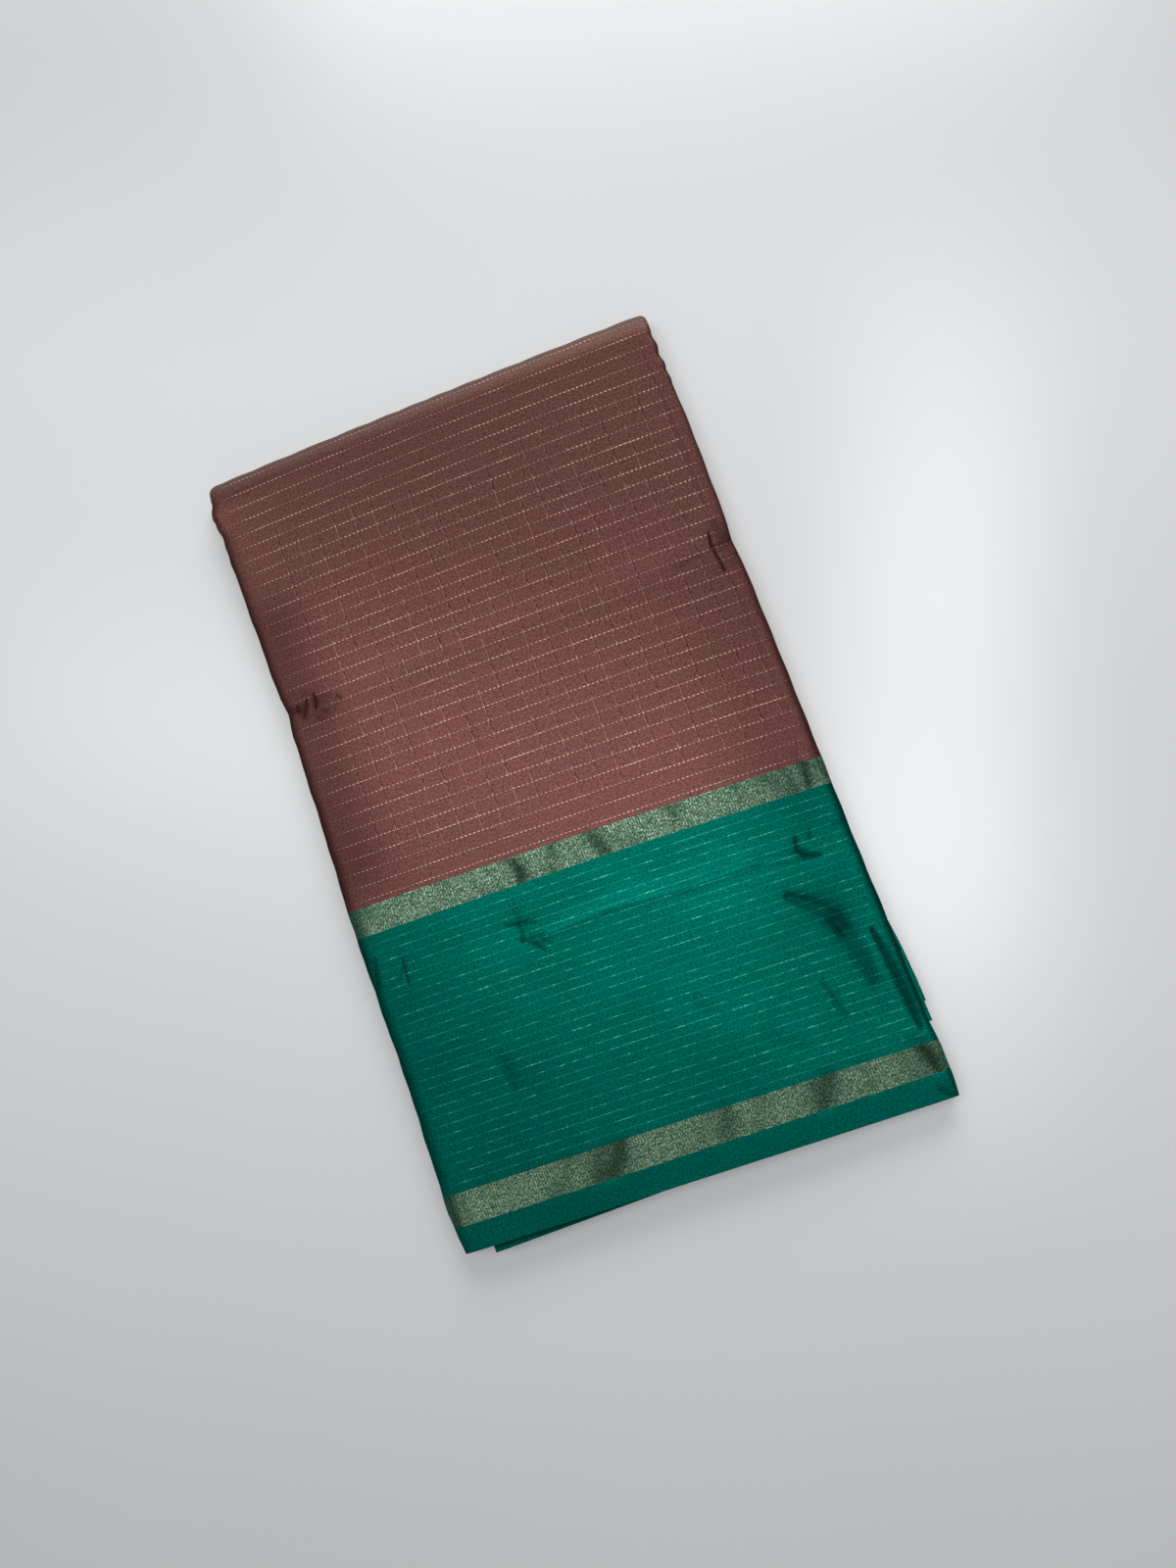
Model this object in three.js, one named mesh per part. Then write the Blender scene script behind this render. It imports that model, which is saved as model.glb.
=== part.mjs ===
// Folded silk saree: a long cloth folded in panels, doubled over its top fold and laid flat.
// Millimetres. X runs across the bundle, Y towards the top fold, Z up from the surface it lies on.
// Every piece is a block between two depths under one outer surface, so neighbours stay parallel.
import * as THREE from 'three';

// Driving dimensions
const WALL = 1.2;               // cloth wall of a leaf
const GAP = 0.3;                // clearance between neighbouring pieces
const FOLD_HEIGHT = 19.4;       // bundle height at the top fold
const END_HEIGHT = 16.0;        // bundle height at the selvedge end
const END_STATION = -291.8;     // selvedge end of the top leaf, at mid width
const BEND_STATION = 287.4;     // where the top fold starts, at mid width
const HALF_SPAN = 175;          // half the nominal panel width, which the weave skew is given for
const ROLL = { left: 8, right: 5.5, depth: 4 };   // rolled panel edge: width each side and depth
const ROLL_STEPS = 3;           // facets round a rolled edge
const BEND_STEPS = 8;           // facets round the top fold
const POCKET = 7;               // how far an under leaf is tucked into the stack
const POCKET_END = 4;           // how far its pocket runs on past its corner
const LEAF_DEPTH = WALL + GAP;  // depth of what lies straight under the outer leaf

// Outline of the bundle seen from above
const OUTLINE = [
  { y: -294, left: -172.8, right: 176.2 },
  { y: -280, left: -174.6, right: 177.6 },
  { y: -262, left: -176.2, right: 177.2 },
  { y: -240, left: -176.0, right: 175.8 },
  { y: -200, left: -175.6, right: 175.2 },
  { y: -170, left: -175.2, right: 175.0 },
  { y: -120, left: -176.4, right: 174.0 },
  { y: -50, left: -177.6, right: 173.6 },
  { y: 20, left: -176.0, right: 173.2 },
  { y: 92, left: -175.2, right: 172.4 },
  { y: 110, left: -173.4, right: 170.4 },
  { y: 124, left: -175.8, right: 172.2 },
  { y: 200, left: -178.0, right: 173.0 },
  { y: 258, left: -179.4, right: 171.8 },
  { y: 271, left: -182.2, right: 171.6 },
  { y: 281, left: -179.0, right: 171.2 },
  { y: 300, left: -178.0, right: 170.8 },
];

// How far the weave lines run up at the left and down at the right of a straight crosswise line
const SKEW = [
  { y: -291.8, left: 1.8, right: -2.4 },
  { y: -274, left: 2.0, right: -2.2 },
  { y: -252, left: 2.2, right: -4.0 },
  { y: -66, left: 4.0, right: -7.0 },
  { y: -47, left: 5.0, right: -7.0 },
  { y: 110, left: 3.0, right: -4.5 },
  { y: 288, left: 1.0, right: -3.6 },
];

// Stations where one woven zone ends and the next starts
const ZONES = [
  { name: 'selvedge', from: END_STATION, to: -274, colour: 'border' },
  { name: 'zari_lower', from: -274, to: -252, colour: 'zari' },
  { name: 'border', from: -252, to: -66.5, colour: 'border' },
  { name: 'zari_upper', from: -66.5, to: -47, colour: 'zari' },
  { name: 'body', from: -47, to: BEND_STATION, colour: 'body' },
];

// Rows that a zone adds between its ends, on the top leaf
const ZONE_ROWS = {
  selvedge: [-282],
  zari_lower: [-263],
  border: [-244, -240, -230, -226, -214, -200, -187, -174, -162, -150, -138, -124, -110, -97, -84],
  zari_upper: [-57],
  body: [-25, 5, 35, 62, 88, 98, 108, 118, 130, 165, 200, 235, 257, 270, 280],
};

// Creases pressed into the top leaf: a soft trough along a line, its half width and its depth
const TROUGHS = [
  { name: 'corner_trough_head', x0: 118, y0: -132, x1: 139, y1: -154, half: 7, depth: 1.7 },
  { name: 'corner_trough_tail', x0: 139, y0: -154, x1: 154, y1: -205, half: 7.5, depth: 1.9 },
  { name: 'edge_trough', x0: 161, y0: -168, x1: 166, y1: -236, half: 3.6, depth: 0.8 },
  { name: 'hook_crease', x0: 134, y0: -100, x1: 148, y1: -115, half: 4, depth: 0.9 },
  { name: 'star_crease', x0: -70, y0: -90, x1: -56, y1: -96, half: 5, depth: 0.8 },
  { name: 'left_tie_crease', x0: -168, y0: 108, x1: -146, y1: 110, half: 5, depth: 1.3 },
  { name: 'right_tie_crease', x0: 157, y0: 109, x1: 168, y1: 107, half: 4, depth: 0.9 },
  { name: 'tie_line', x0: -146, y0: 110, x1: 157, y1: 109, half: 12, depth: 0.45 },
  { name: 'fold_memory', x0: -120, y0: -92, x1: 120, y1: -92, half: 9, depth: 0.4 },
];

// Columns across a row where creases lie, and across a plain row
const FINE_COLUMNS = [
  -158, -147, -134, -105, -80, -68, -56, -42, 10, 75, 108, 118, 127, 134, 141, 148, 155, 162,
];
const PLAIN_COLUMNS = [-110, -40, 40, 110];
const FAR = 1000;               // order of the columns past every named one
const END_COLUMNS = [-158, -120, -80, -40, 0, 40, 80, 120, 158];
const FINE_RANGES = [{ from: -262, to: -60 }, { from: 90, to: 128 }];

// Edges of the hidden layers: how far each stands back from the outline, along the bundle
const LAYER_EDGES = [
  { y: -292, topA: 1.2, topB: 0.5, underB: 1.0, underA: 0.2 },
  { y: -200, topA: 0.9, topB: 0.6, underB: 0.3, underA: 1.0 },
  { y: -60, topA: 0.2, topB: 0.9, underB: 0.5, underA: 0.3 },
  { y: 60, topA: 0.8, topB: 0.2, underB: 1.1, underA: 0.6 },
  { y: 180, topA: 0.3, topB: 1.0, underB: 0.4, underA: 0.9 },
  { y: 300, topA: 0.7, topB: 0.5, underB: 0.7, underA: 0.5 },
];
const GROOVE = 1.9;             // how far a groove between two layers stands back
const FOLD_GROOVE = 2.8;        // the deeper groove where the two halves of the bundle meet
const CORE_END_INSET = 2.2;     // how far the hidden layers' ends stand back from the top leaf's
const END_GROOVE = 1.4;         // depth of the grooves between the hidden layers' ends
const END_WAVE = { height: 0.5, length: 31 };     // how the hidden layers' ends wander

// Under leaves whose corners show past the right edge
const CORNER_LEAVES = [
  { name: 'leaf_3', layer: 'topA', corner: -226, from: -162, reach: 177.6 },
  { name: 'leaf_4', layer: 'topB', corner: -240, from: -174, reach: 178.2 },
];
const CORNER_ROUND = 0.5;       // rounding of a corner leaf's free edge

// The second leaf, turned a little under the top one, so that its left corner shows below it
const SECOND_LEAF = {
  corner: { x: -152, y: -295.4 },
  turn: THREE.MathUtils.degToRad(1.7),
  top: -84,
  sideRoom: 1,                  // clearance to the rolled right edge of the top leaf
  columnRoom: 3,                // least width of its first column
};

const COLOURS = { body: '#70483f', border: '#00665a', zari: '#8e9a72', layers: '#3c3a36' };
const ROUGHNESS = { body: 0.62, border: 0.58, zari: 0.42, layers: 0.7 };
const METALNESS = { body: 0, border: 0, zari: 0.35, layers: 0 };

// Value of a column of a table at y, straight between its rows
function lookUp(table, column, y) {
  const last = table.length - 1;
  if (y <= table[0].y) return table[0][column];
  if (y >= table[last].y) return table[last][column];
  const next = table.findIndex((row) => row.y > y);
  const low = table[next - 1];
  const high = table[next];
  return THREE.MathUtils.mapLinear(y, low.y, high.y, low[column], high[column]);
}

// Y of a weave station at x: a parabola through the skew at both edges
function stationY(station, x) {
  const left = lookUp(SKEW, 'left', station);
  const right = lookUp(SKEW, 'right', station);
  const across = x / HALF_SPAN;
  return station + across * (right - left) / 2 + across * across * (right + left) / 2;
}

// Height of the bundle at a station
function bundleHeight(station) {
  const along = (station - END_STATION) / (BEND_STATION - END_STATION);
  return THREE.MathUtils.lerp(END_HEIGHT, FOLD_HEIGHT, THREE.MathUtils.clamp(along, 0, 1));
}

// Depth that the creases press into the top leaf at a point
function creaseDepth(x, y) {
  let depth = 0;
  for (const trough of TROUGHS) {
    const line = new THREE.Line3(
      new THREE.Vector3(trough.x0, trough.y0, 0),
      new THREE.Vector3(trough.x1, trough.y1, 0),
    );
    const point = new THREE.Vector3(x, y, 0);
    const nearest = line.closestPointToPoint(point, true, new THREE.Vector3());
    const across = nearest.distanceTo(point) / trough.half;
    depth = Math.max(depth, trough.depth * Math.exp(-across * across));
  }
  return depth;
}

// A row is a place along the leaf: on the top, round the fold (turn above 0) or on the underside
function placeOf(row, x, depth, crease) {
  const y = stationY(row.station, x);
  const height = bundleHeight(row.station);
  if (row.side === 'top') {
    const pressed = crease * creaseDepth(x, y);
    return new THREE.Vector3(x, y, height - depth - pressed);
  }
  if (row.side === 'under') return new THREE.Vector3(x, y, depth);
  const radius = height / 2;
  const reach = radius - depth;
  return new THREE.Vector3(x, y + reach * Math.sin(row.turn), radius + reach * Math.cos(row.turn));
}

// Outline of a row, left and right
function edgesOf(row) {
  const left = lookUp(OUTLINE, 'left', stationY(row.station, -HALF_SPAN));
  const right = lookUp(OUTLINE, 'right', stationY(row.station, HALF_SPAN));
  return { left, right };
}

// A point with its place in the order across a row
function ordered(point, order) {
  return Object.assign(point, { order });
}

// Points across a row at a depth: rolled left edge, flat columns, rolled right edge
function profile(row, inset, columns) {
  const { left, right } = edgesOf(row);
  const innerLeft = left + ROLL.left;
  const innerRight = right - ROLL.right;
  const points = [];
  const roll = (centre, width, sign, step) => {
    const angle = (Math.PI / 2) * (step / ROLL_STEPS);
    const x = centre + sign * (width - inset) * Math.sin(angle);
    const depth = ROLL.depth - (ROLL.depth - inset) * Math.cos(angle);
    points.push(ordered(placeOf(row, x, depth, Math.cos(angle)), sign * (FAR + step)));
  };
  for (let step = ROLL_STEPS; step > 0; step -= 1) roll(innerLeft, ROLL.left, -1, step);
  points.push(ordered(placeOf(row, innerLeft, inset, 1), -FAR));
  for (const x of columns) points.push(ordered(placeOf(row, x, inset, 1), x));
  points.push(ordered(placeOf(row, innerRight, inset, 1), FAR));
  for (let step = 1; step <= ROLL_STEPS; step += 1) roll(innerRight, ROLL.right, 1, step);
  return points;
}

// Gathers points and triangles, keeping one copy of each point
class Shell {
  constructor() {
    this.points = [];
    this.index = new Map();
    this.triangles = [];
  }

  vertex(point) {
    const key = point.toArray().map((value) => Math.round(value * 1e4)).join();
    if (!this.index.has(key)) {
      this.index.set(key, this.points.length);
      this.points.push(point);
    }
    return this.index.get(key);
  }

  triangle(a, b, c, flip = false) {
    const corners = (flip ? [a, c, b] : [a, b, c]).map((point) => this.vertex(point));
    if (new Set(corners).size === 3) this.triangles.push(corners);
  }

  // Joins two rows of points in their order across, with the same diagonals when flipped
  bridge(first, second, flip = false) {
    let i = 0;
    let j = 0;
    while (i < first.length - 1 || j < second.length - 1) {
      const stepFirst = j === second.length - 1
        || (i < first.length - 1 && first[i + 1].order <= second[j + 1].order);
      if (stepFirst) {
        this.triangle(first[i], second[j], first[i + 1], flip);
        i += 1;
      } else {
        this.triangle(first[i], second[j], second[j + 1], flip);
        j += 1;
      }
    }
  }

  // Joins two rows with the same number of points, pair by pair
  ladder(first, second) {
    for (let i = 0; i < first.length - 1; i += 1) {
      this.triangle(first[i], second[i], first[i + 1]);
      this.triangle(first[i + 1], second[i], second[i + 1]);
    }
  }

  volume() {
    const sum = this.triangles.reduce((total, [a, b, c]) => {
      const cross = new THREE.Vector3().crossVectors(this.points[b], this.points[c]);
      return total + this.points[a].dot(cross);
    }, 0);
    return sum / 6;
  }

  geometry() {
    const order = this.volume() < 0 ? ([a, b, c]) => [a, c, b] : (corners) => corners;
    const geometry = new THREE.BufferGeometry().setFromPoints(this.points);
    geometry.setIndex(this.triangles.map(order).flat());
    geometry.computeVertexNormals();
    return geometry;
  }
}

// A sheet of cloth between matching outer and inner rows
function sheet(outer, inner) {
  const shell = new Shell();
  const last = outer.length - 1;
  for (let row = 0; row < last; row += 1) {
    shell.bridge(outer[row], outer[row + 1]);
    shell.bridge(inner[row], inner[row + 1], true);
  }
  const edge = (rows, end) => rows.map((points) => points.at(end));
  shell.ladder(edge(outer, 0), edge(inner, 0));
  shell.ladder(edge(inner, -1), edge(outer, -1));
  shell.ladder(inner[0], outer[0]);
  shell.ladder(outer[last], inner[last]);
  return shell.geometry();
}

// Columns that a row of the top leaf carries
function columnsOf(row) {
  const fine = FINE_RANGES.some(({ from, to }) => row.station > from && row.station < to);
  return row.side === 'top' && fine ? FINE_COLUMNS : PLAIN_COLUMNS;
}

// Rows of a woven zone: on the top, and for the body also half way round the fold
function zoneRows(zone, side) {
  const start = zone.name === 'selvedge' ? zone.from : zone.from + GAP / 2;
  const end = zone.name === 'body' ? zone.to : zone.to - GAP / 2;
  const rows = [start, ...ZONE_ROWS[zone.name], end].map((station) => ({ side, station }));
  if (zone.name !== 'body') return rows;
  const apexGap = GAP / 2 / (FOLD_HEIGHT / 2 - ROLL.depth);
  for (let step = 1; step <= BEND_STEPS / 2; step += 1) {
    const share = step / (BEND_STEPS / 2);
    const turn = share * Math.PI / 2 - (share === 1 ? apexGap : 0);
    rows.push({ side: 'bend', station: zone.to, turn: side === 'top' ? turn : Math.PI - turn });
  }
  return rows;
}

// One woven zone of the outer leaf
function outerLeaf(zone, side) {
  const rows = zoneRows(zone, side);
  const outer = rows.map((row) => profile(row, 0, columnsOf(row)));
  const inner = rows.map((row) => profile(row, WALL, columnsOf(row)));
  return sheet(outer, inner);
}

// Depths down the side of the stack: a ridge for each layer and a groove after it
const RIDGES = [
  { share: 0.12, layer: 'A', lip: 0.02 },
  { share: 0.38, layer: 'A', lip: 0.48 },
  { share: 0.5 },
  { share: 0.62, layer: 'B', lip: 0.52 },
  { share: 0.88, layer: 'B', lip: 0.98 },
  { share: 1 },
];

// The pocket that an under leaf is tucked into, at a layer and a station, or nothing
function pocketAt(side, layer, station) {
  const inPocket = (leaf) => leaf.layer === side + layer
    && station >= leaf.corner - POCKET_END && station <= leaf.from;
  return CORNER_LEAVES.some(inPocket);
}

// Points down one edge of the stack at a row, from under the rolled edge to the middle
function stackEdge(row, inset, hand) {
  const sign = hand === 'left' ? -1 : 1;
  const edge = edgesOf(row)[hand];
  const half = row.side === 'under' || row.turn > Math.PI / 2 ? 'under' : 'top';
  const seat = ROLL.depth + GAP;
  const middle = bundleHeight(row.station) / 2;
  const down = (share) => THREE.MathUtils.lerp(seat, middle, share);
  const points = [placeOf(row, edge - sign * Math.max(inset, LEAF_DEPTH), seat, 0)];
  for (const ridge of RIDGES) {
    const groove = ridge.share === 1 ? FOLD_GROOVE : GROOVE;
    let back = groove;
    let share = ridge.share;
    if (ridge.layer) {
      back = lookUp(LAYER_EDGES, half + ridge.layer, stationY(row.station, sign * HALF_SPAN));
      if (hand === 'right' && row.side === 'top' && pocketAt(half, ridge.layer, row.station)) {
        back = POCKET;
        share = ridge.lip;
      }
    }
    points.push(placeOf(row, edge - sign * back, down(share), 0));
  }
  return points;
}

// Rows all round the hidden layers: along the top, round the fold and back along the underside
function stackRows() {
  const top = [];
  for (const zone of ZONES) {
    const start = zone.name === 'selvedge' ? zone.from + CORE_END_INSET : zone.from;
    for (const station of [start, ...ZONE_ROWS[zone.name]]) top.push({ side: 'top', station });
  }
  const bend = [];
  for (let step = 0; step <= BEND_STEPS; step += 1) {
    bend.push({ side: 'bend', station: BEND_STATION, turn: (Math.PI * step) / BEND_STEPS });
  }
  const under = top.map((row) => ({ side: 'under', station: row.station })).reverse();
  return [...top, ...bend, ...under];
}

// Depth that the hidden layers start at: under the second leaf where that lies
function stackInset(row) {
  const underSecondLeaf = row.side === 'top' && row.station <= SECOND_LEAF.top;
  return underSecondLeaf ? 2 * LEAF_DEPTH : LEAF_DEPTH;
}

// Ends of the layers at the selvedge side: each level runs from the left edge to the right one
function stackEnd(shell, firstRow, lastRow) {
  const level = (row, left, right, back) => {
    const depth = row.side === 'top' ? bundleHeight(row.station) - left.z : left.z;
    const inner = END_COLUMNS.map((x) => {
      const point = placeOf(row, x, depth, 0);
      point.y += back + END_WAVE.height * Math.sin(x / END_WAVE.length + depth);
      return ordered(point, x);
    });
    return [ordered(left, -2 * FAR), ...inner, ordered(right, 2 * FAR)];
  };
  const levelsOf = (row) => {
    const inset = stackInset(row);
    const across = profile(row, inset, columnsOf(row));
    const left = stackEdge(row, inset, 'left');
    const right = stackEdge(row, inset, 'right');
    const rolled = [];
    for (let step = 1; step <= ROLL_STEPS; step += 1) {
      const a = across[ROLL_STEPS - step];
      const b = across[across.length - 1 - ROLL_STEPS + step];
      rolled.push(level(row, a, b, 0));
    }
    const down = left.map((point, i) => {
      const grooved = i === 0 || !RIDGES[i - 1].layer;
      return level(row, point, right[i], grooved ? END_GROOVE : 0);
    });
    return [across.slice(ROLL_STEPS, across.length - ROLL_STEPS), ...rolled, ...down];
  };
  const top = levelsOf(firstRow);
  const under = levelsOf(lastRow);
  under[under.length - 1] = top[top.length - 1];
  const levels = [...top, ...under.reverse().slice(1)];
  for (let i = 0; i < levels.length - 1; i += 1) shell.bridge(levels[i + 1], levels[i]);
}

// The hidden layers, one rounded solid with layered edges
function hiddenLayers() {
  const rows = stackRows();
  const shell = new Shell();
  const across = rows.map((row) => profile(row, stackInset(row), columnsOf(row)));
  for (let i = 0; i < rows.length - 1; i += 1) shell.bridge(across[i], across[i + 1]);
  for (const hand of ['left', 'right']) {
    const end = hand === 'left' ? 0 : -1;
    const edges = rows.map((row, i) => [across[i].at(end), ...stackEdge(row, stackInset(row), hand)]);
    for (let i = 0; i < rows.length - 1; i += 1) {
      if (hand === 'left') shell.ladder(edges[i + 1], edges[i]);
      else shell.ladder(edges[i], edges[i + 1]);
    }
  }
  stackEnd(shell, rows[0], rows.at(-1));
  return shell.geometry();
}

// The second leaf lies straight under the top one and is turned, so its end shows below it
function secondLeaf() {
  const { corner, turn, top, sideRoom, columnRoom } = SECOND_LEAF;
  const slope = Math.tan(turn);
  const stations = [-282, -274, -263, -252, ...ZONE_ROWS.border.filter((station) => station < top)];
  const rows = [null, ...stations, top].map((station) => {
    const rise = station === null ? 0 : station - corner.y;
    const left = corner.x - slope * rise;
    const row = { side: 'top', station: station ?? END_STATION };
    const right = edgesOf(row).right - ROLL.right - sideRoom;
    const columns = columnsOf(row).filter((x) => x > left + columnRoom);
    const orders = [-FAR, ...columns, FAR];
    return { row, station, xs: [left, ...columns, right], orders };
  });
  const layer = (depth) => rows.map(({ row, station, xs, orders }) => xs.map((x, i) => {
    const point = placeOf(row, x, depth, 1);
    if (station === null) {
      const edge = corner.y + slope * (x - corner.x);
      point.y = Math.min(edge, stationY(END_STATION, x) + 2 * CORE_END_INSET);
    }
    return ordered(point, orders[i]);
  }));
  return sheet(layer(LEAF_DEPTH), layer(LEAF_DEPTH + WALL));
}

// A corner leaf: a strip of cloth in its pocket, its free edge just past the top leaf's
function cornerLeaf({ layer, corner, from, reach }) {
  const stations = ZONE_ROWS.border.filter((station) => station > corner + 2 && station < from);
  const rows = [corner, ...stations, from];
  const [low, high] = layer.endsWith('A') ? [0, 0.5] : [0.5, 1];
  const shell = new Shell();
  const rings = rows.map((station) => {
    const row = { side: 'top', station };
    const { right } = edgesOf(row);
    const along = THREE.MathUtils.inverseLerp(corner, from, station);
    const out = THREE.MathUtils.lerp(reach, right - GAP, along * along);
    const seat = ROLL.depth + GAP;
    const middle = bundleHeight(station) / 2;
    const upper = THREE.MathUtils.lerp(seat, middle, low) + GAP;
    const lower = THREE.MathUtils.lerp(seat, middle, high) - GAP;
    const inner = right - POCKET + GAP;
    const at = (x, depth) => placeOf(row, x, depth, 0);
    return [
      at(inner, upper),
      at(out - CORNER_ROUND, upper),
      at(out, (upper + lower) / 2),
      at(out - CORNER_ROUND, lower),
      at(inner, lower),
      at(inner, upper),
    ];
  });
  for (let i = 0; i < rings.length - 1; i += 1) shell.ladder(rings[i], rings[i + 1]);
  const cap = (ring, flip) => {
    for (let i = 1; i < 4; i += 1) {
      if (flip) shell.triangle(ring[0], ring[i + 1], ring[i]);
      else shell.triangle(ring[0], ring[i], ring[i + 1]);
    }
  };
  cap(rings[0], false);
  cap(rings.at(-1), true);
  return shell.geometry();
}

// A named piece in its zone's colour
function piece(name, geometry, colour) {
  const material = new THREE.MeshStandardMaterial({
    color: COLOURS[colour],
    roughness: ROUGHNESS[colour],
    metalness: METALNESS[colour],
  });
  const mesh = new THREE.Mesh(geometry, material);
  mesh.name = name;
  return mesh;
}

const saree = new THREE.Group();
for (const side of ['top', 'under']) {
  for (const zone of ZONES) saree.add(piece(`${side}_${zone.name}`, outerLeaf(zone, side), zone.colour));
}
saree.add(piece('leaf_2', secondLeaf(), 'border'));
for (const leaf of CORNER_LEAVES) saree.add(piece(leaf.name, cornerLeaf(leaf), 'border'));
saree.add(piece('folded_layers', hiddenLayers(), 'layers'));

// The origin lies under the middle of the bundle
const bounds = new THREE.Box3().setFromObject(saree);
const middle = bounds.getCenter(new THREE.Vector3());
for (const mesh of saree.children) mesh.geometry.translate(-middle.x, -middle.y, -bounds.min.z);

export default saree;
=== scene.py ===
"""Looks of the folded silk saree: woven silk leaves over a stack of folded layers, on a pale floor.

Sizes in the tables are millimetres in the plan of the bundle: X across the panels, Y towards the
top fold, Z up. Every mesh is moved to the frame's own origin and metres at the end.
"""

import bmesh
import bpy
import numpy as np
from mathutils import Matrix, Quaternion, Vector


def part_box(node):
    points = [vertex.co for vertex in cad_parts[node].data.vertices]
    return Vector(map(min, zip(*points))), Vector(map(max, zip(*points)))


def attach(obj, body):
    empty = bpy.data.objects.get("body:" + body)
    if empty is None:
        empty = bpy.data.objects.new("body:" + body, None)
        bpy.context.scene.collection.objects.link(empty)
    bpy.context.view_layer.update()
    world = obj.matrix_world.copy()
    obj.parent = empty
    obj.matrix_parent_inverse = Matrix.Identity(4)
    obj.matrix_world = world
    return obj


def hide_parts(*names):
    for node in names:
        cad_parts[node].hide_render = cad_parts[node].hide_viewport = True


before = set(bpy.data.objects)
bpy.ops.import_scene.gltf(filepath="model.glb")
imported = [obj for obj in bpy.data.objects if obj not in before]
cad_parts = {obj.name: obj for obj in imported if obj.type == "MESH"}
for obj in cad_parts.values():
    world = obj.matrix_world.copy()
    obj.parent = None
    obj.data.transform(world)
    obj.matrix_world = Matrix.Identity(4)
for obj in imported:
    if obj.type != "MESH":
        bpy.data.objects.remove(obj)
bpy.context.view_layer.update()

# the bundle's form, as in the solids

HALF_SPAN = 175.0
END_STATION, BEND_STATION = -291.8, 281.1
# where each woven zone ends, counted up from the selvedge end
SELVEDGE_TOP, ZARI_LOWER_TOP, BORDER_TOP, ZARI_UPPER_TOP = -274.0, -252.0, -66.5, -47.0
SEAM = 0.3  # half the length over which two zones run into each other
FOLD_REACH = 16.0  # how far the top fold rounds out beyond the bend station
END_HEIGHT, FOLD_HEIGHT = 16.0, 19.4
ROLL_LEFT, ROLL_RIGHT, ROLL_DEPTH = 8.0, 5.5, 4.0
TUCK = 0.7  # radius with which a rolled edge turns under
CLOTH = 0.45  # thickness of a leaf
CORE_DEPTH = 1.5  # depth of the hidden layers under the outer leaf
CORE_SET_BACK = 2.2  # how far their ends stand back from the top leaf's
LEAF_4_REACH, LEAF_2_LOW = 178.2, -295.4  # outermost points, which the frame's origin follows from

shift = Vector(
    (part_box("leaf_4")[1].x * 1000 - LEAF_4_REACH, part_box("leaf_2")[0].y * 1000 - LEAF_2_LOW, 0)
)

# y, left edge, right edge
OUTLINE = np.array([
    (-294, -172.8, 176.2), (-280, -174.6, 177.6), (-262, -176.2, 177.2), (-240, -176.0, 175.8),
    (-200, -175.6, 175.2), (-170, -175.2, 175.0), (-120, -176.4, 174.0), (-50, -177.6, 173.6),
    (20, -176.0, 173.2), (92, -175.2, 172.4), (110, -173.4, 170.4), (124, -175.8, 172.2),
    (200, -178.0, 173.0), (258, -179.4, 171.8), (271, -182.2, 171.6), (281, -179.0, 171.2),
    (300, -178.0, 170.8),
])

# station, rise of a weave line at the left edge, its fall at the right edge
SKEW = np.array([
    (END_STATION, 1.8, -2.4), (SELVEDGE_TOP, 2.0, -2.2), (ZARI_LOWER_TOP, 2.2, -4.0),
    (-66, 4.0, -7.0), (ZARI_UPPER_TOP, 5.0, -7.0), (110, 3.0, -4.5), (288, 1.0, -3.6),
])

# name, first station, last station
ZONES = [
    ("selvedge", END_STATION, SELVEDGE_TOP),
    ("zari_lower", SELVEDGE_TOP, ZARI_LOWER_TOP),
    ("border", ZARI_LOWER_TOP, BORDER_TOP),
    ("zari_upper", BORDER_TOP, ZARI_UPPER_TOP),
    ("body", ZARI_UPPER_TOP, BEND_STATION),
]

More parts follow.
